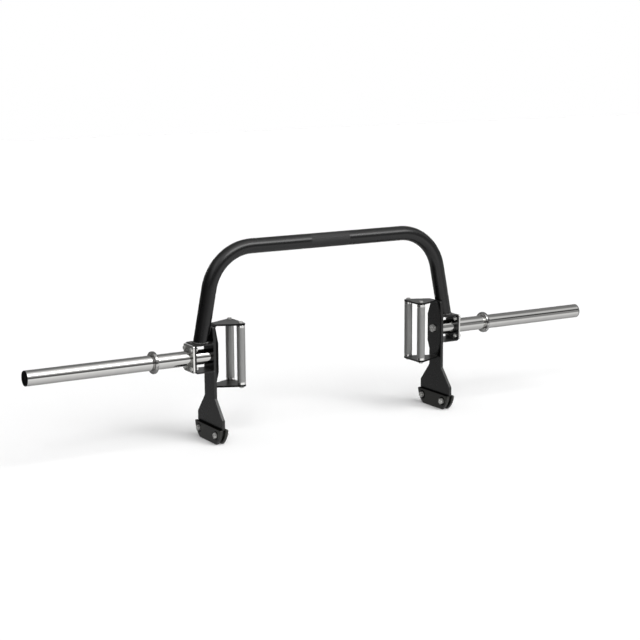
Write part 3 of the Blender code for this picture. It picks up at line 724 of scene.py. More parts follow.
# %% [markdown]
# ## Shaping helpers
#
# Every piece is shaped in a bmesh and becomes an object at the origin, with its place in
# its mesh. Each right-hand piece stands for one solid, and a copy turned half a turn
# stands for the solid on the left. In that turn right becomes left, and front, rear. A
# weighted normal modifier makes the broad faces shade flat and their eased edges round.

# %% From a shape to a pair of finished pieces
def other_side(name):
    """Name of what a right-hand piece becomes after half a turn."""
    swap = {"right": "left", "front": "rear", "rear": "front"}
    return "_".join(swap.get(word, word) for word in name.split("_"))


def finish_piece(bm, name, materials, replaced=None, smooth_above=35):
    """Make an object of a shape, hang it under the root body and hide the solid that it replaces.
    """
    mesh = bpy.data.meshes.new(name)
    bm.to_mesh(mesh)
    mesh.shade_smooth()
    mesh.set_sharp_from_angle(angle=math.radians(smooth_above))
    for material in materials:
        mesh.materials.append(material)
    piece = bpy.data.objects.new(name, mesh)
    bpy.context.scene.collection.objects.link(piece)
    weighted = piece.modifiers.new("Even shading", "WEIGHTED_NORMAL")
    weighted.keep_sharp = True
    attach(piece, "root")
    if replaced:
        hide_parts(replaced)
    return piece


def finish_pair(bm, name, materials, replaced=None, smooth_above=35):
    """The same for a right-hand shape, with its twin on the left."""
    finish_piece(bm, name, materials, replaced, smooth_above)
    bmesh.ops.transform(bm, matrix=HALF_TURN, verts=bm.verts)
    twin = other_side(replaced) if replaced else None
    finish_piece(bm, other_side(name), materials, twin, smooth_above)
    bm.free()


print(other_side("grip_bolt_front_upper_right"))

# %% [markdown]
# Turned pieces, such as sleeves, collars and bolts, start as a profile and are spun. The
# doubles where the turn closes and where the profile meets the axis are merged, and the
# normals are then worked out afresh, because a spin can turn a shape inside out.

# %% Turning a profile
ALONG_X = Matrix(((0, 0, 1, 0), (1, 0, 0, 0), (0, 1, 0, 0), (0, 0, 0, 1)))
AGAINST_X = Matrix(((0, 0, -1, 0), (1, 0, 0, 0), (0, -1, 0, 0), (0, 0, 0, 1)))
ALONG_Y = Matrix(((1, 0, 0, 0), (0, 0, -1, 0), (0, 1, 0, 0), (0, 0, 0, 1)))
UPWARDS = Matrix.Identity(4)
DOWNWARDS = Matrix(((1, 0, 0, 0), (0, -1, 0, 0), (0, 0, -1, 0), (0, 0, 0, 1)))


def tidy(bm):
    """Merge doubles and point the faces outwards."""
    bmesh.ops.remove_doubles(bm, verts=bm.verts, dist=0.001 * MM)
    bmesh.ops.dissolve_degenerate(bm, edges=bm.edges, dist=0.0001 * MM)
    bmesh.ops.recalc_face_normals(bm, faces=bm.faces)


def move(bm, *matrices):
    """Apply matrices to a whole shape, the last one first."""
    place = Matrix.Identity(4)
    for matrix in matrices:
        place = place @ matrix
    bmesh.ops.transform(bm, matrix=place, verts=bm.verts)
    return bm


def facing_right(x, z):
    """Place on the right for what was made round Z, which then lies along the bar."""
    return Matrix.Translation((x, 0, z)) @ ALONG_X


def spun(profile, steps=64, closed=False):
    """A profile of (radius, height) points turned about Z."""
    bm = bmesh.new()
    points = [bm.verts.new((radius, 0, height)) for radius, height in profile]
    ends = points[1:] + points[:1] if closed else points[1:]
    lines = [bm.edges.new(pair) for pair in zip(points, ends)]
    bmesh.ops.spin(bm, geom=points + lines, cent=(0, 0, 0), axis=(0, 0, 1),
                   angle=2 * math.pi, steps=steps, use_merge=True)
    tidy(bm)
    return bm


def rounded_step(radius, height, size, outward, steps=5):
    """Profile points of a rounded outer corner; outward is 1 at a top, -1 at a bottom."""
    points = []
    for number in range(steps + 1):
        angle = math.pi / 2 * number / steps
        points.append((radius - size + size * math.sin(angle),
                       height - outward * (size - size * math.cos(angle))))
    return points if outward > 0 else points[::-1]


print("ready to turn profiles")

# %% [markdown]
# Plates start as one flat face. Its corners are rounded by a vertex bevel, the face is
# pulled up into a plate, and an edge bevel eases the rim as grinding and paint do. That
# small rounding is what catches the light along every edge.

# %% Cutting a plate
def fill_rims(bm):
    """Fill every open rim with a face."""
    rims = [edge for edge in bm.edges if edge.is_boundary]
    if rims:
        bmesh.ops.holes_fill(bm, edges=rims, sides=0)


def rounded_face(corners, segments=6):
    """A flat face from (u, v, radius) corners, with each corner rounded."""
    bm = bmesh.new()
    points = [bm.verts.new((u, v, 0)) for u, v, radius in corners]
    bm.faces.new(points)
    count = len(corners)
    cuts = []
    for number, (u, v, radius) in enumerate(corners):
        if radius > 0:
            here = Vector((u, v))
            before = Vector(corners[number - 1][:2]) - here
            after = Vector(corners[(number + 1) % count][:2]) - here
            cuts.append((points[number], radius / math.tan(before.angle(after) / 2)))
    for point, reach in cuts:
        bmesh.ops.bevel(bm, geom=[point], offset=reach, segments=segments, profile=0.5,
                        affect="VERTICES", material=-1)
    return bm


def pull_up(bm, thickness):
    """Give a flat face its thickness, half on each side."""
    bmesh.ops.translate(bm, vec=(0, 0, -thickness / 2), verts=bm.verts)
    made = bmesh.ops.extrude_face_region(bm, geom=bm.faces[:])["geom"]
    top = [part for part in made if isinstance(part, bmesh.types.BMVert)]
    bmesh.ops.translate(bm, vec=(0, 0, thickness), verts=top)
    fill_rims(bm)
    bmesh.ops.recalc_face_normals(bm, faces=bm.faces)
    return bm


def ease_edges(bm, size, segments=2, above=30):
    """Round off every edge sharper than an angle."""
    sharp = [edge for edge in bm.edges
             if edge.is_manifold and edge.calc_face_angle() > math.radians(above)]
    bmesh.ops.bevel(bm, geom=sharp, offset=size, segments=segments, profile=0.5,
                    affect="EDGES", material=-1, clamp_overlap=True)
    return bm


print("ready to cut plates")

# %% [markdown]
# Some plates are drilled or cut to the shape that several outlines have in common. The
# Boolean modifier does both exactly. Its work is wrapped up here, so that a piece stays one
# shape while it is made. A hole is a bar taken away. Bolts have a little play in their
# holes, and pieces that are welded together stand as far apart.

# %% Cutting one shape with another
def combined(bm, cutter, operation):
    """One shape cut, joined or trimmed by another."""
    made = []
    for label, shape in (("target", bm), ("cutter", cutter)):
        mesh = bpy.data.meshes.new(label)
        shape.to_mesh(mesh)
        shape.free()
        thing = bpy.data.objects.new(label, mesh)
        bpy.context.scene.collection.objects.link(thing)
        made.append(thing)
    step = made[0].modifiers.new("Boolean", "BOOLEAN")
    step.operation = operation
    step.solver = "EXACT"
    step.object = made[1]
    bpy.context.view_layer.update()
    seen = made[0].evaluated_get(bpy.context.evaluated_depsgraph_get())
    result = bmesh.new()
    result.from_mesh(seen.to_mesh())
    seen.to_mesh_clear()
    for thing in made:
        mesh = thing.data
        bpy.data.objects.remove(thing)
        bpy.data.meshes.remove(mesh)
    bmesh.ops.remove_doubles(result, verts=result.verts, dist=0.001 * MM)
    return result


BIT_LENGTH = 500 * MM
WIDE_HOLE = 20 * MM


def drilled(bm, holes):
    """A plate with holes along Z; each hole is (u, v, radius)."""
    bits = bmesh.new()
    for u, v, radius in holes:
        steps = 64 if radius > WIDE_HOLE else 32
        bmesh.ops.create_cone(bits, cap_ends=True, segments=steps, radius1=radius,
                              radius2=radius, depth=BIT_LENGTH,
                              matrix=Matrix.Translation((u, v, 0)))
    return combined(bm, bits, "DIFFERENCE")


PLAY = 0.3 * MM
M8_HOLE = 4 * MM + PLAY
M12_HOLE = 6 * MM + PLAY
M16_HOLE = 8 * MM + PLAY
FOOT_BOLTS = ("front", "rear")
FLANGE_BOLTS = ("front_upper", "front_lower", "rear_upper", "rear_lower")
foot_spots = [tuple(centre_of(f"foot_bolt_{spot}_right").yz) for spot in FOOT_BOLTS]
flange_spots = [tuple(centre_of(f"flange_bolt_{spot}_right").yz) for spot in FLANGE_BOLTS]
print("foot bolts at", [tuple(round(value, 4) for value in spot) for spot in foot_spots])

# %% [markdown]
# ## Uprights
#
# Each upright is cut from 10 mm plate: straight beside the brackets, narrower towards the
# arch, and flared below like a bell for its feet. It could be traced as many points, but a
# few corners with radii say the same thing. The ends of the feet bow out a little from a
# straight line. A share of the way down such an end, the bow is that share times what is
# left, which is a parabola. Below the pads' top edges the plate stops 10 mm short of the
# pads' ends, which leaves the black slot that one sees between them.

# %% Upright plates
def bowed_end(top, floor, bulge, count=7):
    """Points down the right-hand end of a foot."""
    top, floor = Vector(top), Vector(floor)
    down = floor - top
    outward = Vector((-down.y, down.x)).normalized()
    points = []
    for number in range(count + 1):
        share = number / count
        points.append(top + down * share + outward * bulge * 4 * share * (1 - share))
    return [(point.x, point.y, 0) for point in points]


def mirrored(half):
    """A whole outline from its right half."""
    return half + [(-u, v, radius) for u, v, radius in reversed(half)]


def in_metres(half):
    """The mirrored outline, from millimetres."""
    return [(u * MM, v * MM, radius * MM) for u, v, radius in mirrored(half)]


# These are in millimetres, from the middle and up from the floor.
PAD_HALF = 92.5
PAD_HEIGHT = 53
BULGE = 6
FLARE = PAD_HALF - 3
SLOT = 10
half_plate = [(28.5, 385, 4), (36, 334, 0), (36, 148, 4), (FLARE, 84, 4), (FLARE, PAD_HEIGHT, 1)]
half_plate += bowed_end((PAD_HALF - SLOT, PAD_HEIGHT - 4), (53, 6), BULGE)
plate = pull_up(rounded_face(in_metres(half_plate)), upright_high.x - upright_low.x)
holes = [(0, SLEEVE_Z, M16_HOLE)] + [(u, v, M12_HOLE) for u, v in foot_spots]
upright = ease_edges(drilled(plate, holes), 0.9 * MM)
for face in upright.faces:
    face.material_index = 1 if abs(face.normal.z) < 0.5 else 0
move(upright, facing_right((upright_low.x + upright_high.x) / 2, 0))
print(len(upright.faces), "faces in an upright")
finish_pair(upright, "upright_right", [black_coat, plate_edge_dust_and_sheen],
            "upright_plate_right")

# %% [markdown]
# ## Feet
#
# Two black pads clamp the foot of each upright and keep the loaded bar off the floor.
# Their ends are cut like a boat's, with the same bow as the plate between them, so the
# bar can be tipped. A moulding has softer edges than a cut plate, so these are eased more.
# Their narrow top faces have a finish of their own: rough from the mould, and near black with
# an index close to that of air, which paints in the dark line of shade between pad and plate.

# %% Foot pads
half_pad = [(PAD_HALF, PAD_HEIGHT, 3.4)] + bowed_end((PAD_HALF, PAD_HEIGHT - 4), (60, 0), BULGE)
for which in ("outer", "inner"):
    low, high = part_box(f"foot_pad_{which}_right")
    block = pull_up(rounded_face(in_metres(half_pad)), high.x - low.x)
    pad = drilled(block, [(u, v, M12_HOLE) for u, v in foot_spots])
    for face in pad.faces:
        face.material_index = 1 if face.normal.y > 0.9 else 0
    ease_edges(pad, 1.2 * MM, 3, above=40)
    move(pad, facing_right((low.x + high.x) / 2, 0))
    print(which, "pad:", len(pad.faces), "faces")
    finish_pair(pad, f"foot_{which}_right", [foot_plastic, foot_top_painted_shade],
                f"foot_pad_{which}_right")

# %% [markdown]
# ## Sleeve brackets
#
# Each is a short channel, folded from 5 mm plate and welded to the upright by its two legs,
# so one looks through it from front to back. Its outline has two rounded folds, and the
# holes for the sleeve and for the flange's bolts are drilled through its outer wall. The
# drill runs along X there, so the channel is turned to stand the way the drill goes.

# %% Sleeve brackets
def box_corners(width, height, radius):
    """Corners of a rectangle round the middle."""
    u, v = width / 2, height / 2
    return [(u, v, radius), (-u, v, radius), (-u, -v, radius), (u, -v, radius)]


WALL = 5 * MM
FOLD = 9 * MM
out = (bracket_high.x - bracket_low.x) / 2
rise = (bracket_high.z - bracket_low.z) / 2
outline = [(out, rise, FOLD), (-out, rise, 0), (-out, rise - WALL, 0),
           (out - WALL, rise - WALL, FOLD - WALL), (out - WALL, WALL - rise, FOLD - WALL),
           (-out, WALL - rise, 0), (-out, -rise, 0), (out, -rise, FOLD)]
channel = pull_up(rounded_face(outline, 8), bracket_high.y - bracket_low.y)
move(channel, ALONG_X.inverted(), ALONG_Y)
SLEEVE_HOLE = 25 * MM + PLAY
bolt_holes = [(y, z - SLEEVE_Z, M8_HOLE) for y, z in flange_spots]
bracket = ease_edges(drilled(channel, [(0, 0, SLEEVE_HOLE)] + bolt_holes), 0.7 * MM)
move(bracket, facing_right((bracket_low.x + bracket_high.x) / 2, SLEEVE_Z))
print(len(bracket.faces), "faces in a bracket", round(2 * out, 4), round(2 * rise, 4))
finish_pair(bracket, "bracket_right", [black_coat], "sleeve_bracket_right")

# %% [markdown]
# ## Handle brackets
#
# One strip of 6 mm sheet is folded twice, into a web that lies on the upright and two
# shelves that hold the grips. Laser-cut sheet is the shape that several outlines have in
# common, so the folded strip, seen from the side, is intersected with the web's outline
# seen from the front, joined to the shelves' outline seen from above. The result is
# eased like any plate. A laser leaves a rough, sooty edge, and the coat over it is duller
# and blacker than on the rolled faces, so the cut edges have a finish of their own.

# %% Folded strip
SHEET = 6 * MM
INSIDE_BEND = 6 * MM
GRIP_HALF = 100 * MM
WIDER_THAN_STRIP = 140 * MM
web_outer = upright_low.x - PLAY
web_inner = web_outer - SHEET
shelf_top = SLEEVE_Z + GRIP_HALF
shelf_low = SLEEVE_Z - GRIP_HALF
past_grips = GRIP_X - 25 * MM
outside_bend = INSIDE_BEND + SHEET
side_view = [(past_grips, shelf_top, 0), (web_inner, shelf_top, INSIDE_BEND),
             (web_inner, shelf_low, INSIDE_BEND), (past_grips, shelf_low, 0),
             (past_grips, shelf_low - SHEET, 0), (web_outer, shelf_low - SHEET, outside_bend),
             (web_outer, shelf_top + SHEET, outside_bend), (past_grips, shelf_top + SHEET, 0)]
strip = move(pull_up(rounded_face(side_view, 10), WIDER_THAN_STRIP), ALONG_Y)
print("strip folded, web from", round(web_inner, 4), "to", round(web_outer, 4))

# %% [markdown]
# Seen from the front of its face, the web is broad in the middle, where the big bolt goes
# through, and its long edges slope to the width of the folds. The outline runs on to a
# peak, since only what it has in common with the strip is kept.

# %% Web outline
WEB_HALF = 39 * MM
WEB_STRAIGHT = 47.5 * MM
ROOT_HALF = 20.5 * MM
WEB_CORNER = 3 * MM
WEB_BLOCK = 30 * MM
block_from = web_inner - 3 * MM
slope_end = GRIP_HALF - INSIDE_BEND
peak = WEB_STRAIGHT + (slope_end - WEB_STRAIGHT) * WEB_HALF / (WEB_HALF - ROOT_HALF)
web_view = [(0, peak, 0), (WEB_HALF, WEB_STRAIGHT, WEB_CORNER),
            (WEB_HALF, -WEB_STRAIGHT, WEB_CORNER), (0, -peak, 0),
            (-WEB_HALF, -WEB_STRAIGHT, WEB_CORNER), (-WEB_HALF, WEB_STRAIGHT, WEB_CORNER)]
web = drilled(pull_up(rounded_face(web_view, 8), WEB_BLOCK), [(0, 0, M16_HOLE)])
move(web, facing_right(block_from + WEB_BLOCK / 2, SLEEVE_Z))
print("web", round(2 * WEB_HALF, 3), "wide, peak at", round(peak, 4))

# %% [markdown]
# Seen from above, a shelf widens from its fold to a rounded eye at each grip. Each eye is
# a circle of 14.5 mm, and the straight edges touch it.

# %% Shelf outline
EYE = 14.5 * MM
EYE_STEPS = 18
TALLER_THAN_BRACKET = 260 * MM
fold_x = web_inner - INSIDE_BEND
to_root = Vector((fold_x - GRIP_X, ROOT_HALF - GRIP_Y))
touch = math.atan2(to_root.y, to_root.x) + math.acos(EYE / to_root.length)
eye_points = []
for number in range(EYE_STEPS + 1):
    angle = touch + (math.pi - touch) * number / EYE_STEPS
    eye_points.append((GRIP_X + EYE * math.cos(angle), GRIP_Y + EYE * math.sin(angle), 0))
half_shelf = [(web_outer + 10 * MM, ROOT_HALF, 0), (fold_x, ROOT_HALF, 0)] + eye_points
top_view = half_shelf + [(u, -v, 0) for u, v, _ in reversed(half_shelf)]
shelves = drilled(pull_up(rounded_face(top_view), TALLER_THAN_BRACKET),
                  [(GRIP_X, way * GRIP_Y, M8_HOLE) for way in (-1, 1)])
move(shelves, Matrix.Translation((0, 0, SLEEVE_Z)))
print("straight edges touch the eyes at", round(math.degrees(touch), 1), "degrees")

# %% [markdown]
# The three views meet here. A face belongs to the cut edges where it is broad neither like
# the web nor like the shelves. It gets its finish before the edges are eased, and the new
# narrow faces take theirs from it.

# %% The finished handle bracket
both_outlines = combined(web, shelves, "UNION")
handle_bracket = combined(strip, both_outlines, "INTERSECT")
bmesh.ops.dissolve_limit(handle_bracket, angle_limit=math.radians(0.5),
                         verts=handle_bracket.verts, edges=handle_bracket.edges)
cut_edges = []
for face in handle_bracket.faces:
    middle = face.calc_center_median()
    on_web = middle.x > web_inner - 1 * MM and abs(middle.z - SLEEVE_Z) < slope_end
    broad = abs(face.normal.x) if on_web else max(abs(face.normal.z), abs(face.normal.x))
    if broad < 0.3 or (not on_web and abs(face.normal.y) > 0.3):
        face.material_index = 1
        cut_edges.append(face)
ease_edges(handle_bracket, 0.6 * MM, 2, above=40)
print(len(handle_bracket.faces), "faces in a handle bracket,", len(cut_edges), "on its cut edges")
finish_pair(handle_bracket, "handle_sheet_right", [black_coat, edge_coat],
            "handle_bracket_right")

# %% [markdown]
# ## Arch
#
# A 50 mm tube is bent twice so that its legs lean in by 11 degrees. A curve with a round
# bevel would do too, but the way that a tube bender works gives even rings and an exact
# bend: a ring of 48 points is pulled up the right leg, spun round the bend, pulled across
# and spun down again. First come the places that such a tube has to pass. The leg's axis
# stands a little outside the upright's face on top of the bracket, and from there it leans
# in until it meets the line of the crossbar. The hold reaches 75 mm to each side.

# %% Line of the arch
LEAN = math.radians(11)
BENT_BY = math.pi / 2 - LEAN
BEND = 160 * MM
HOLD = 75 * MM
LEG_OFF_UPRIGHT = 28.7 * MM
foot_x = upright_high.x + LEG_OFF_UPRIGHT
leg = Vector((-math.sin(LEAN), 0, math.cos(LEAN)))
foot = Vector((foot_x, 0, BRACKET_TOP))
meeting = foot + leg * (arch_top - BRACKET_TOP) / leg.z
tangent = BEND * math.tan(BENT_BY / 2)
bend_start = meeting - leg * tangent
bend_centre = Vector((meeting.x - tangent, 0, arch_top - BEND))
print("feet at x", round(foot_x, 4), "bends round x", round(bend_centre.x, 4))

# %% [markdown]
# The crossbar is pulled in three stretches, so that the knurled middle can have its own
# finish. The legs start a little too low, since their feet are cut afterwards.

# %% Bending the arch
BEND_STEPS = 28
TOO_LOW = 60 * MM


def extruded(bm, ring):
    """Double a ring of edges where it is; give the new ring's points and edges."""
    made = bmesh.ops.extrude_edge_only(bm, edges=ring)["geom"]
    points = [part for part in made if isinstance(part, bmesh.types.BMVert)]
    kept = set(points)
    edges = [part for part in made if isinstance(part, bmesh.types.BMEdge)
             and part.verts[0] in kept and part.verts[1] in kept]
    return points, edges


def pull_ring(bm, ring, step):
    """Extrude a ring of edges by a vector and give the new ring."""
    points, edges = extruded(bm, ring)
    bmesh.ops.translate(bm, vec=step, verts=points)
    return edges


def spin_ring(bm, ring, centre):
    """Spin a ring of edges round one bend and give the last ring."""
    made = bmesh.ops.spin(bm, geom=ring, cent=centre, axis=(0, 1, 0), angle=-BENT_BY,
                          steps=BEND_STEPS)["geom_last"]
    return [part for part in made if isinstance(part, bmesh.types.BMEdge)]


arch = bmesh.new()
bmesh.ops.create_circle(arch, cap_ends=False, segments=48, radius=TUBE)
start = foot - leg * TOO_LOW
move(arch, Matrix.Translation(start), Matrix.Rotation(-LEAN, 4, "Y"))
ring = pull_ring(arch, arch.edges[:], bend_start - start)
ring = spin_ring(arch, ring, bend_centre)
for stretch in (HOLD - bend_centre.x, -2 * HOLD, HOLD - bend_centre.x):
    ring = pull_ring(arch, ring, Vector((stretch, 0, 0)))
ring = spin_ring(arch, ring, Vector((-bend_centre.x, 0, bend_centre.z)))
down_left_leg = Vector((leg.x, 0, -leg.z))
pull_ring(arch, ring, down_left_leg * (bend_start - start).length)
tidy(arch)
fill_rims(arch)
bmesh.ops.recalc_face_normals(arch, faces=arch.faces)
print(len(arch.faces), "faces in the uncut arch")

# %% [markdown]
# The legs are cut level, where they stand on the brackets, and notched over the uprights,
# whose top edges reach into them. A plane makes the level cut. A block does the notch.

# %% Cutting the arch's feet
def cut_off(bm, place, direction):
    """Cut away all of a shape that lies beyond a plane."""
    bmesh.ops.bisect_plane(bm, geom=bm.verts[:] + bm.edges[:] + bm.faces[:], plane_co=place,
                           plane_no=direction, clear_outer=True)


cut_off(arch, (0, 0, BRACKET_TOP + PLAY), (0, 0, -1))
fill_rims(arch)
bmesh.ops.recalc_face_normals(arch, faces=arch.faces)
NOTCH_DEEP = 200 * MM
notch = bmesh.new()
bmesh.ops.create_cube(notch, size=1)
notch_size = Matrix.Diagonal((2 * (upright_high.x + PLAY), NOTCH_DEEP, NOTCH_DEEP, 1))
move(notch, Matrix.Translation((0, 0, upright_high.z + PLAY - NOTCH_DEEP / 2)), notch_size)
arch = combined(arch, notch, "DIFFERENCE")
for face in arch.faces:
    centre = face.calc_center_median()
    if abs(centre.x) < HOLD and centre.z > arch_top - 2 * TUBE and abs(face.normal.x) < 0.5:
        face.material_index = 1
print(sum(face.material_index for face in arch.faces), "faces of the arch are knurled")
finish_piece(arch, "arch", [black_coat, arch_hold_coat], "arch_tube")
arch.free()

# %% [markdown]
# ## Sleeves, collars, cores and plugs
#
# The plates slide on the sleeves. Each sleeve is a chromed tube that runs through its
# flange and the open bracket up to the upright. A collar ring stops the plates. A tapped
# core in the tube's inner end takes a big bolt from the other side of the upright, and a
# black plug closes the outer end. Its face has a shallow round hollow in the middle.

# %% Sleeve tube and end plug
SLEEVE_RADIUS = 25 * MM
SLEEVE_BORE = 21 * MM
tube_length = tube_high.x - tube_low.x
tube_profile = rounded_step(SLEEVE_RADIUS, tube_length, 0.8 * MM, 1, 3)
tube_profile += [(SLEEVE_RADIUS, tube_length * share) for share in (0.75, 0.5, 0.25)]
tube_profile += [(SLEEVE_RADIUS, 0), (SLEEVE_BORE, 0), (SLEEVE_BORE, tube_length)]
sleeve = move(spun(tube_profile, 96, closed=True), facing_right(tube_low.x, SLEEVE_Z))
print(len(sleeve.faces), "faces in a sleeve")
finish_pair(sleeve, "sleeve_right", [sleeve_chrome], "sleeve_tube_right")

plug_low, plug_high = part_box("end_plug_right")
plug_end = plug_high.x - plug_low.x
HEAD = SLEEVE_RADIUS - PLAY
STEM = SLEEVE_BORE - PLAY
UNDER_HEAD = 12 * MM
plug_profile = [(0, plug_end - 0.9 * MM), (7 * MM, plug_end - 0.8 * MM),
                (8.5 * MM, plug_end - 0.2 * MM), (15 * MM, plug_end)]
plug_profile += rounded_step(HEAD, plug_end, 1.3 * MM, 1, 5)
plug_profile += [(HEAD, UNDER_HEAD), (STEM, UNDER_HEAD), (STEM, 0), (0, 0)]
plug = move(spun(plug_profile, 72), facing_right(plug_low.x, SLEEVE_Z))
finish_pair(plug, "plug_right", [plug_plastic], "end_plug_right")

# %% [markdown]
# The collar is a fat ring with well rounded rims, shrunk on the sleeve. The core is a plain
# bar with a blind tapped hole. Both could be cylinders with a bevel, but a profile gives
# the rims, the chamfers and the hole in one turn.

# %% Collar ring and core
COLLAR_ROUND = 4.5 * MM
BORE_CHAMFER = 0.8 * MM
collar_low, collar_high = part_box("collar_ring_right")
width = collar_high.x - collar_low.x
rim = (collar_high.z - collar_low.z) / 2
seat = SLEEVE_RADIUS + PLAY
collar_profile = rounded_step(rim, width, COLLAR_ROUND, 1, 7)
collar_profile += rounded_step(rim, 0, COLLAR_ROUND, -1, 7)
collar_profile += [(seat + BORE_CHAMFER, 0), (seat, BORE_CHAMFER), (seat, width - BORE_CHAMFER),
                   (seat + BORE_CHAMFER, width)]
collar = move(spun(collar_profile, 96, closed=True), facing_right(collar_low.x, SLEEVE_Z))
print("collar", round(width, 4), "wide, rim", round(rim, 4))
finish_pair(collar, "collar_right", [collar_chrome], "collar_ring_right")

CORE_CHAMFER = 1.5 * MM
TAPPED = 30.6 * MM
core_low, core_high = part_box("sleeve_core_right")
core_length = core_high.x - core_low.x
core_profile = [(0, core_length), (STEM - CORE_CHAMFER, core_length),
                (STEM, core_length - CORE_CHAMFER), (STEM, CORE_CHAMFER), (STEM - CORE_CHAMFER, 0),
                (M16_HOLE, 0), (M16_HOLE, TAPPED), (0, TAPPED)]
core = move(spun(core_profile, 72), facing_right(core_low.x, SLEEVE_Z))
finish_pair(core, "core_right", [zinc_plate], "sleeve_core_right")

# %% [markdown]
# The flange is a small rounded plate round the sleeve, welded to it and chromed with it.
# Four bolts hold it to the bracket. It is cut like the other plates, with the bracket's
# own list of holes, so that its bolts always meet them. Its rim has a paler tint than its
# face, a painted highlight for the light that the rounded rim catches.

# %% Flange plate
flange_face = rounded_face(box_corners(flange_high.y - flange_low.y,
                                       flange_high.z - flange_low.z, 6 * MM), 8)
flange = pull_up(flange_face, flange_high.x - flange_low.x)
flange = ease_edges(drilled(flange, [(0, 0, SLEEVE_HOLE)] + bolt_holes), 0.5 * MM)
for face in flange.faces:
    face.material_index = 0 if abs(face.normal.z) > 0.95 else 1
move(flange, facing_right((flange_low.x + flange_high.x) / 2, SLEEVE_Z))
finish_pair(flange, "flange_right", [flange_chrome, flange_rim_painted_highlight],
            "flange_plate_right")
print("flange made")

# %% [markdown]
# ## Grips
#
# Two upright bars per side, 80 mm apart, knurled between smooth end bands. A fine groove
# parts the band from the knurling. One half of the profile is enough, since the other is
# the same upside down. Each bar has its own finish, because the knurling is counted round
# that bar's axis.

# %% Grips
GRIP_RADIUS = 14 * MM
BAND = 8 * MM
BORED = 26 * MM
GROOVE_BED = GRIP_RADIUS - 0.6 * MM
GRIP_LENGTH = grip_high.z - grip_low.z


def grip(y):
    """One grip bar at a place across the bar."""
    inner = GRIP_LENGTH - BAND
    groove = [(GRIP_RADIUS, inner), (GROOVE_BED, inner - 0.5 * MM),
              (GROOVE_BED, inner - 1.1 * MM), (GRIP_RADIUS, inner - 1.6 * MM)]
    bottom = GRIP_LENGTH - BORED
    half = [(0, bottom), (M8_HOLE, bottom), (M8_HOLE, GRIP_LENGTH)]
    half += rounded_step(GRIP_RADIUS, GRIP_LENGTH, 0.9 * MM, 1, 4) + groove
    bar = spun(half + [(radius, GRIP_LENGTH - height) for radius, height in reversed(half)], 72)
    for face in bar.faces:
        height = face.calc_center_median().z
        face.material_index = 1 if min(height, GRIP_LENGTH - height) < BAND else 0
    return move(bar, Matrix.Translation((GRIP_X, y, grip_low.z)))


PLAIN_END = BAND + 1.8 * MM
half_knurl = GRIP_LENGTH / 2 - PLAIN_END
for spot, y in (("front", -GRIP_Y), ("rear", GRIP_Y)):
    bar = grip(y)
    for side, name in ((1, f"grip_{spot}_right"), (-1, other_side(f"grip_{spot}_right"))):
        finish = knurled_chrome("knurled_chrome_" + name,
                                centre=(side * GRIP_X, side * y, SLEEVE_Z), turn_to_z=STANDING,
                                teeth=56.0, pitch=1.6 * MM, half_length=half_knurl)
        finish_piece(bar, name + "_bar", [finish, band_chrome], name)
        move(bar, HALF_TURN)
    bar.free()
print("four grips, knurled over", round(2 * half_knurl, 3), "m")

# %% [markdown]
# ## Bolts and nuts
#
# A hexagon head is turned first and then milled: a chamfered disc is spun, and six planes
# cut its flats. A six-sided cylinder would be quicker, but only this way leaves the curved
# corners of the real chamfer. The chamfer leaves a round face a little narrower than the
# flats and falls off by 30 degrees.

# %% Hexagon heads and nuts
ROUND_FACE = 0.475
CHAMFER = math.radians(30)


def hexagon(flats, height, bore=0.0, both_ends=False):
    """A chamfered hexagon that stands on the XY plane."""
    corner = flats / math.sqrt(3)
    face = ROUND_FACE * flats
    drop = (corner - face) * math.tan(CHAMFER)
    low = [(corner, drop), (face, 0)] if both_ends else [(corner, 0)]
    profile = [(bore, height), (face, height), (corner, height - drop)] + low + [(bore, 0)]
    bm = spun(profile, 48, closed=bore > 0)
    for number in range(6):
        angle = math.pi / 3 * number
        side = Vector((math.cos(angle), math.sin(angle), 0))
        cut_off(bm, side * flats / 2, side)
        fill_rims(bm)
    bmesh.ops.recalc_face_normals(bm, faces=bm.faces)
    return bm


trial = hexagon(13 * MM, 5.3 * MM)
print("a hexagon head has", len(trial.faces), "faces")
trial.free()

# %% [markdown]
# A thread is a small profile spun several turns while it climbs by one pitch each turn. It
# starts and ends with a turn too many, which two planes cut off square.

# %% Threads
def thread(diameter, pitch, length):
    """A stretch of thread that stands on the XY plane."""
    crest = diameter / 2
    valley = crest - 0.6 * pitch
    bm = bmesh.new()
    shape = [(valley, 0), (crest, 0.40 * pitch), (crest, 0.55 * pitch), (valley, pitch)]
    points = [bm.verts.new((radius, 0, height - pitch)) for radius, height in shape]
    lines = [bm.edges.new(pair) for pair in zip(points, points[1:])]
    turns = math.ceil(length / pitch) + 2
    steps = 20
    bmesh.ops.spin(bm, geom=points + lines, cent=(0, 0, 0), axis=(0, 0, 1),
                   angle=2 * math.pi * turns, steps=steps * turns, dvec=(0, 0, pitch / steps))
    bmesh.ops.remove_doubles(bm, verts=bm.verts, dist=0.002 * MM)
    cut_off(bm, (0, 0, 0), (0, 0, -1))
    cut_off(bm, (0, 0, length), (0, 0, 1))
    fill_rims(bm)
    bmesh.ops.recalc_face_normals(bm, faces=bm.faces)
    return bm


trial = thread(12 * MM, 1.75 * MM, 6 * MM)
print("a thread of", 6 * MM, "m has", len(trial.faces), "faces")
trial.free()

# %% [markdown]
# Each fastener is a head with its shank, or a nut. The plain shank is hidden, and a thread
# shows only past a nut. The sizes are those of the standard for metric bolts.

# %% Bolts
def gathered(*shapes):
    """Several shapes in one; each is (shape, matrix)."""
    whole = bmesh.new()
    for shape, place in shapes:
        bmesh.ops.transform(shape, matrix=place, verts=shape.verts)
        mesh = bpy.data.meshes.new("gathered")
        shape.to_mesh(mesh)
        shape.free()
        whole.from_mesh(mesh)
        bpy.data.meshes.remove(mesh)
    return whole


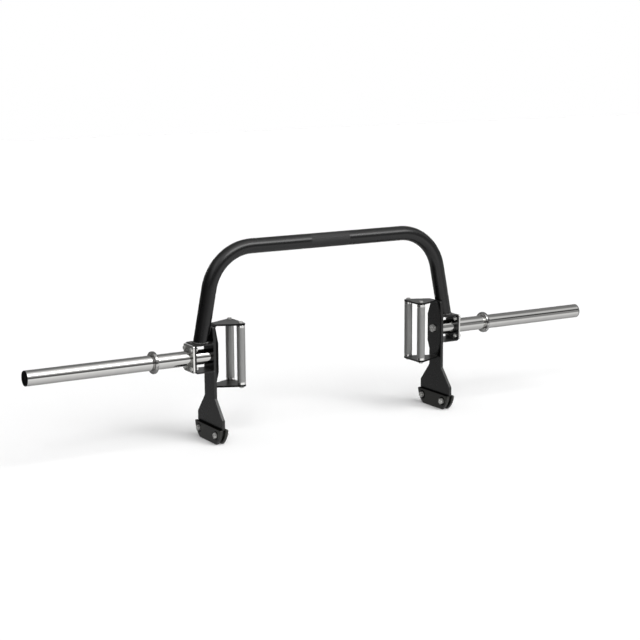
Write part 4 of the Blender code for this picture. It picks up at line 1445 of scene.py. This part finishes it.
# Diameter, width over the flats, height of the head and pitch.
M8 = (8 * MM, 13 * MM, 5.3 * MM, 1.25 * MM)
M12 = (12 * MM, 18 * MM, 7.5 * MM, 1.75 * MM)
M16 = (16 * MM, 24 * MM, 10 * MM, 2 * MM)


def bolt(kind, whole, threaded=0):
    """A bolt whose head stands on the XY plane, by its whole length and its visible thread."""
    size, flats, head, pitch = kind
    reach = whole - head
    side = size / 2 - 0.1 * MM
    inside_head = 0.2 * MM
    plain = threaded - reach
    shank = [(0, inside_head), (side, inside_head), (side, plain), (0, plain)]
    shapes = [(hexagon(flats, head), UPWARDS), (spun(shank, 24), UPWARDS)]
    if threaded:
        tail = thread(size - 0.1 * MM, pitch, threaded)
        shapes.append((tail, Matrix.Translation((0, 0, -reach))))
    return gathered(*shapes)


def nut(kind, height):
    """A nut that stands on the XY plane."""
    return hexagon(kind[1], height, kind[0] / 2, both_ends=True)


print("three kinds of bolt, heads", M8[2], M12[2], M16[2], "m high")

# %% [markdown]
# A fastener is made once for each kind and copied to its places. Each solid's box tells
# where its head ends, and a turn tells which way it points. Those of the flanges and the
# grips come first.

# %% Flange and grip fasteners
def place_fastener(shape, node, turn):
    """Stand a fastener where its solid stands, with its head the way that the turn points."""
    low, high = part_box(node)
    out = turn @ Vector((0, 0, 1))
    spread = (high - low) / 2
    near = centre_of(node) + Vector([spread[axis] * out[axis] for axis in range(3)])
    top = max(vert.co.z for vert in shape.verts)
    copy = shape.copy()
    move(copy, Matrix.Translation(near - out * top), turn)
    finish_pair(copy, "fitted_" + node, [zinc_plate], node, 30)


flange_bolt = bolt(M8, size_along("flange_bolt_front_upper_right", 0), 5 * MM)
flange_nut = nut(M8, 6.8 * MM)
for spot in FLANGE_BOLTS:
    place_fastener(flange_bolt, f"flange_bolt_{spot}_right", ALONG_X)
    place_fastener(flange_nut, f"flange_nut_{spot}_right", AGAINST_X)
grip_bolt = bolt(M8, size_along("grip_bolt_front_upper_right", 2))
for spot in ("front", "rear"):
    place_fastener(grip_bolt, f"grip_bolt_{spot}_upper_right", UPWARDS)
    place_fastener(grip_bolt, f"grip_bolt_{spot}_lower_right", DOWNWARDS)
print("small bolts placed")

# %% [markdown]
# The feet are clamped by two bolts through both pads, with their nuts on the inside. One
# big bolt goes through the handle bracket and the upright into the sleeve's core. Its head
# shows on the inside, and its thread is out of sight.

# %% Foot and shaft fasteners
foot_bolt = bolt(M12, size_along("foot_bolt_front_right", 0), 6 * MM)
foot_nut = nut(M12, 10 * MM)
for spot in FOOT_BOLTS:
    place_fastener(foot_bolt, f"foot_bolt_{spot}_right", ALONG_X)
    place_fastener(foot_nut, f"foot_nut_{spot}_right", AGAINST_X)
shaft_bolt = bolt(M16, size_along("shaft_bolt_right", 0))
place_fastener(shaft_bolt, "shaft_bolt_right", AGAINST_X)
print("large bolts placed")

# %% [markdown]
# ## Welds
#
# The arch, the brackets and the uprights are welded before they are painted. A bead is a
# row of overlapping ripples. They could be a pattern in the material, but a bead's outline
# shows them too. So a small ring is pulled along the joint in short steps, and its size
# swells and shrinks from step to step. At an open end the bead tapers off.

# %% Laying a bead
RIPPLE = 2.6 * MM
STEPS_PER_RIPPLE = 4


def bead_steps(path, closed):
    """Places for a bead's rings along a path, a quarter of a ripple apart."""
    steps = []
    ends = path[1:] + path[:1] if closed else path[1:]
    for begin, end in zip(path, ends):
        count = max(1, round((end - begin).length / (RIPPLE / STEPS_PER_RIPPLE)))
        steps += [begin.lerp(end, number / count) for number in range(count)]
    return steps if closed else steps + [path[-1]]


def bead(path, radius, side, closed=False):
    """A rippled bead along points; side is a direction square to the path."""
    steps = bead_steps(path, closed)
    bm = bmesh.new()
    ring = bmesh.ops.create_circle(bm, cap_ends=False, segments=10, radius=1)["verts"]
    edges = bm.edges[:]
    previous = Matrix.Identity(4)
    count = len(steps)
    for number in range(count + (1 if closed else 0)):
        here = steps[number % count]
        after = steps[(number + 1) % count] if closed or number < count - 1 else here
        before = steps[(number - 1) % count] if closed or number > 0 else here
        along = (after - before).normalized()
        across = along.cross(side).normalized()
        high = across.cross(along)
        ripple_share = number % STEPS_PER_RIPPLE / STEPS_PER_RIPPLE
        swell = 1 + 0.10 * math.sin(2 * math.pi * ripple_share)
        if not closed:
            swell *= min(1, 0.35 + min(number, count - 1 - number) * 0.25)
        turn = Matrix((across, high, along)).transposed().to_4x4()
        place = Matrix.Translation(here) @ turn @ Matrix.Scale(radius * swell, 4)
        if number:
            ring, edges = extruded(bm, edges)
        bmesh.ops.transform(bm, matrix=place @ previous.inverted(), verts=ring)
        previous = place
    if closed:
        bmesh.ops.remove_doubles(bm, verts=bm.verts, dist=0.02 * MM)
    else:
        fill_rims(bm)
    bmesh.ops.recalc_face_normals(bm, faces=bm.faces)
    return bm


print("ready to weld")

# %% [markdown]
# One bead runs round the arch's foot on the bracket, which is an oval, since the tube
# leans. Two more climb the lines where the tube runs into the upright, as far as the
# plate's top edge. Pythagoras gives their distance from the middle at each height. A bead
# needs few points, since it fills in its own steps: 36 round the foot, nine up a side.

# %% Beads on the arch
WIDE_BEAD = 3.2 * MM
FINE_BEAD = 1.9 * MM
ALONG_BAR = Vector((1, 0, 0))
STRAIGHT_UP = Vector((0, 0, 1))
ENDS = (("front", -1), ("rear", 1))
CLIMB_FROM = 20 * MM
CLIMB = 30.5 * MM
plate_x = upright_high.x
foot_ring = []
for number in range(36):
    angle = 2 * math.pi * number / 36
    foot_ring.append(Vector((foot_x + TUBE / math.cos(LEAN) * math.cos(angle),
                             TUBE * math.sin(angle), BRACKET_TOP + 2 * PLAY)))
foot_bead = bead(foot_ring, WIDE_BEAD, STRAIGHT_UP, closed=True)
finish_pair(foot_bead, "weld_arch_foot_right", [bead_coat])


def beside_tube(z):
    """Half the width of the tube where it meets the upright's face at a height."""
    from_axis = (foot_x - (z - BRACKET_TOP) * math.tan(LEAN) - plate_x) * math.cos(LEAN)
    return math.sqrt(max(TUBE ** 2 - from_axis ** 2, 0))


climb = [BRACKET_TOP + CLIMB_FROM + CLIMB * number / 8 for number in range(9)]
for label, way in ENDS:
    line = [Vector((plate_x + 0.4 * MM, way * beside_tube(z), z)) for z in climb]
    seam = bead(line, FINE_BEAD, ALONG_BAR)
    finish_pair(seam, f"weld_notch_{label}_right", [bead_coat])
print("beads climb to", round(climb[-1], 4))

# %% [markdown]
# The bracket is welded to the upright by fillets along its two legs. Where a leg ends, in
# front and behind, a short bead goes across its thickness and seals the joint.

# %% Beads on the brackets
LEG_BEAD = 2.2 * MM
LEG_HALF = 34 * MM
LEG_END = 36.6 * MM
for label, z, inward in (("upper", bracket_high.z + PLAY, -WALL),
                         ("lower", bracket_low.z - PLAY, WALL)):
    line = [Vector((plate_x + 1.2 * MM, y, z)) for y in (-LEG_HALF, LEG_HALF)]
    fillet = bead(line, LEG_BEAD, STRAIGHT_UP)
    finish_pair(fillet, f"weld_leg_{label}_right", [bead_coat])
    for end, way in ENDS:
        across_end = [Vector((plate_x + 0.2 * MM, way * LEG_END, z + inward * share))
                      for share in (0.1, 1.1)]
        short = bead(across_end, FINE_BEAD, ALONG_BAR)
        finish_pair(short, f"weld_leg_{label}_{end}_right", [bead_coat])
print("beads laid")

# %% [markdown]
# ## Floor, air and lamps
#
# The photograph is taken in a white studio. The camera sees a white floor and a white
# room. The floor is pale paper under plain light, with just enough glow for the camera to
# bring it to white, so that it still shows the bar's shadow. A glow on camera rays alone
# puts no more light on the bar. Metal doesn't mirror this floor, because the room's own
# tones, further down, hold what it would see there. The paper lies a hair below the feet.

# %% White floor
FLOOR_REACH = 14
floor_shape = bmesh.new()
bmesh.ops.create_grid(floor_shape, x_segments=1, y_segments=1, size=FLOOR_REACH)
floor_mesh = bpy.data.meshes.new("studio_floor")
floor_shape.to_mesh(floor_mesh)
floor_shape.free()
floor = bpy.data.objects.new("studio_floor", floor_mesh)
floor.location.z = -0.4 * MM
floor.visible_glossy = False
bpy.context.scene.collection.objects.link(floor)
print("floor", floor.name, "is stage")

# %% [markdown]
# The paper's material adds two shaders: a plain diffuse one, and a glow that is only there
# for rays that come straight from the camera.

# %% Paper
floor_paper = bpy.data.materials.new("floor_paper")
floor_paper.use_nodes = True
paper = floor_paper.node_tree
paper.nodes.clear()
rays = paper.nodes.new("ShaderNodeLightPath")
lit = add_node(paper, "ShaderNodeBsdfDiffuse", {"Color": (0.80, 0.80, 0.80, 1)})
glow_strength = math_node(paper, "MULTIPLY", rays.outputs["Is Camera Ray"], 0.03)
glow = add_node(paper, "ShaderNodeEmission", {"Color": (1, 1, 1, 1), "Strength": glow_strength})
seen = add_node(paper, "ShaderNodeAddShader")
paper.links.new(lit.outputs[0], seen.inputs[0])
paper.links.new(glow.outputs[0], seen.inputs[1])
end = paper.nodes.new("ShaderNodeOutputMaterial")
paper.links.new(seen.outputs[0], end.inputs["Surface"])
floor_mesh.materials.append(floor_paper)
print(floor_paper.name, "on", floor_mesh.name)

# %% [markdown]
# Polished metal shows more of a studio than its white ground: a dark band at eye height,
# where the camera stands, a bright soft light above it, and a grey ceiling. So the room is
# plain white to the camera, plain pale light to the paint, and a band of tones by height
# to what mirrors it. A studio with real walls and panels would do the same, but tones on a
# ramp can be set one by one, and they light nothing by mistake. First come the empty room,
# the direction that a ray looks in, and a helper that lays greys along a ramp.

# %% Empty room
world = bpy.data.worlds.new("studio")
bpy.context.scene.world = world
world.use_nodes = True
room = world.node_tree
room.nodes.clear()
towards = room.nodes.new("ShaderNodeTexCoord").outputs["Generated"]
axes = add_node(room, "ShaderNodeSeparateXYZ", {"Vector": towards})


def band_of_tones(name, share, stops):
    """A ramp of greys over a share from 0 to 1; stops are (share, tone)."""
    node = add_node(room, "ShaderNodeValToRGB", {"Fac": share})
    node.label = name
    ramp = node.color_ramp
    while len(ramp.elements) < len(stops):
        ramp.elements.new(0.5)
    for element, (place, _) in zip(ramp.elements, stops):
        element.position = place
    for element, (_, tone) in zip(ramp.elements, stops):
        element.color = (tone, tone, tone, 1)
    return node.outputs[0]


print("room", world.name, "is empty")

# %% [markdown]
# The tones go by the angle of a direction about the bar's own axis: 0 looks forward past
# the camera at eye height, a quarter turn is the ceiling and half a turn the wall behind
# the bar. Below 0 lies the ground. There are two such bands, since the bright ceiling ends
# on the right: what faces right mirrors a dimmer one. Ground and back wall are the same.

# %% Tones by height
forward = math_node(room, "MULTIPLY", axes.outputs["Y"], -1.0)
height_angle = math_node(room, "ARCTAN2", axes.outputs["Z"], forward)
height_share = math_node(room, "MULTIPLY_ADD", height_angle, 0.5 / math.pi, 0.5)
ground = [(-180, 0.04), (-174, 0.06), (-168, 0.125), (-163, 0.215), (-140, 0.22), (-110, 0.24),
          (-85, 0.34)]
under_ceiling = [(-48, 0.46), (-28, 0.52), (-13, 0.66), (-4, 0.14), (0, 0.06), (14, 0.08),
                 (24, 0.36), (36, 0.62), (60, 0.80), (72, 0.78), (84, 0.50), (93, 0.36),
                 (109, 0.15)]
right_of_it = [(-48, 0.42), (-25, 0.56), (-13, 0.36), (-5, 0.17), (3, 0.16), (16, 0.25),
               (21, 0.04), (36, 0.02), (42, 0.30), (52, 0.46), (69, 0.42), (80, 0.22),
               (90, 0.145), (114, 0.16)]
back_wall = [(140, 0.12), (158, 0.13), (165, 0.27), (170, 0.30), (175, 0.08), (180, 0.04)]
bands = []
for name, ahead_tones in (("under the ceiling", under_ceiling), ("right of it", right_of_it)):
    tones = ground + ahead_tones + back_wall
    stops = [((angle + 180) / 360, tone) for angle, tone in tones]
    bands.append(band_of_tones(name, height_share, stops))
    print(len(stops), "tones", name)
to_the_right = add_node(room, "ShaderNodeMapRange",
                        {"Value": axes.outputs["X"], "From Min": 0.50, "From Max": 0.60})
band = mix_colour(room, to_the_right.outputs[0], *bands)

# %% [markdown]
# From left to right the whole room changes too. It is darkest on the far left and brightest
# some 35 degrees left of the middle. Here -1 looks straight to the left, and from 0 on,
# which is straight ahead or back, nothing changes any more.

# %% Tones from left to right
sides = [(-1.0, 0.06), (-0.8, 0.20), (-0.58, 1.0), (-0.52, 0.86), (-0.44, 0.64), (-0.2, 0.67),
         (0.0, 0.795)]
side_share = math_node(room, "MULTIPLY_ADD", axes.outputs["X"], 0.5, 0.5)
side_stops = [(sideways / 2 + 0.5, tone) for sideways, tone in sides]
side_tones = band_of_tones("from left to right", side_share, side_stops)
print(len(side_stops), "tones from left to right")

# %% [markdown]
# Light Path tells what kind of ray looks into the room. Mirrored rays get the tones, all
# others the plain light, and what the camera sees directly is white.

# %% What each ray sees
MIRRORED_LIGHT = 2.2
PLAIN_LIGHT = 0.45
WHITE = (1, 1, 1, 1)
mirror_strength = math_node(room, "MULTIPLY", side_tones, MIRRORED_LIGHT)
light_path = room.nodes.new("ShaderNodeLightPath")
mirror_ray = math_node(room, "MAXIMUM", light_path.outputs["Is Glossy Ray"],
                       light_path.outputs["Is Transmission Ray"])
mirror_air = add_node(room, "ShaderNodeBackground",
                      {"Color": band, "Strength": mirror_strength})
plain_air = add_node(room, "ShaderNodeBackground", {"Color": WHITE, "Strength": PLAIN_LIGHT})
white_air = add_node(room, "ShaderNodeBackground", {"Color": WHITE, "Strength": 1.0})
first = add_node(room, "ShaderNodeMixShader", {"Fac": mirror_ray})
room.links.new(plain_air.outputs[0], first.inputs[1])
room.links.new(mirror_air.outputs[0], first.inputs[2])
second = add_node(room, "ShaderNodeMixShader", {"Fac": light_path.outputs["Is Camera Ray"]})
room.links.new(first.outputs[0], second.inputs[1])
room.links.new(white_air.outputs[0], second.inputs[2])
room_end = room.nodes.new("ShaderNodeOutputWorld")
room.links.new(second.outputs[0], room_end.inputs["Surface"])
print("mirrors see", MIRRORED_LIGHT, "times the tones, paint sees", PLAIN_LIGHT)

# %% [markdown]
# Three lamps give the soft shadows on the floor. The widest stands low in front, and two
# smaller ones stand high on its right and its left, so the shadows lie behind the feet
# and mostly to the left. The long faint bands on both sides are the sleeves' shadows. A
# sun lamp lights a floor evenly however wide it is, so the paper is as white at the back
# as at the front, and its angle sets how soft a shadow is. Their light doesn't show in
# the metal, since the room already holds what the metal mirrors.

# %% Lamps
def soft_lamp(name, compass, height, spread, strength):
    """A wide lamp far away; compass 0 stands in front of the bar and 90 on its right."""
    data = bpy.data.lights.new(name, "SUN")
    data.angle = math.radians(spread)
    data.energy = strength
    thing = bpy.data.objects.new(name, data)
    bpy.context.scene.collection.objects.link(thing)
    around, above = math.radians(compass), math.radians(height)
    away = Vector((math.sin(around) * math.cos(above), -math.cos(around) * math.cos(above),
                   math.sin(above)))
    thing.rotation_euler = away.to_track_quat("Z", "Y").to_euler()
    thing.visible_glossy = False
    return away.z * strength / math.pi


white = soft_lamp("front_lamp", 14, 28, 53, 2.70)
white += soft_lamp("right_lamp", 42, 61, 31, 0.98)
white += soft_lamp("left_lamp", -35, 46, 18, 0.58)
print("the lamps add", round(white, 2), "to a white floor")

# %% [markdown]
# The bright line along the tubes is a long soft panel, above and in front of the bar. A
# tube that is seen from the left mirrors what lies further to the right. So the panel
# stands to the right for the left sleeve and the arch to show it, and it ends before the
# place that the right sleeve mirrors. It is a lamp that only mirrors see: it gives paint
# and chrome their line and lights nothing else.

# %% Mirrored panel
def mirrored_panel(name, middle, aim, width, height, brightness):
    """A rectangle of light, seen in mirrors only, that faces a height on the bar."""
    data = bpy.data.lights.new(name, "AREA")
    data.shape = "RECTANGLE"
    data.size, data.size_y = width, height
    data.energy = brightness * math.pi * width * height
    thing = bpy.data.objects.new(name, data)
    bpy.context.scene.collection.objects.link(thing)
    away = Vector((0, middle[1], middle[2] - aim))
    turn = away.to_track_quat("Z", "Y").to_matrix().to_4x4()
    thing.matrix_world = Matrix.Translation(middle) @ turn
    thing.visible_diffuse = False
    thing.visible_camera = False
    return thing


panel = mirrored_panel("panel", (0.45, -1.06, 1.57), aim=0.45, width=2.1, height=0.56,
                       brightness=4.6)
print(panel.name, "hangs", round(panel.location.z, 2), "m high")

# %% [markdown]
# ## Finish
#
# The finished bar has to fill the same box as its solids. Colours are shown as they are,
# with no film look over them.

# %% Finish
scene = bpy.context.scene
scene.view_settings.view_transform = "Standard"
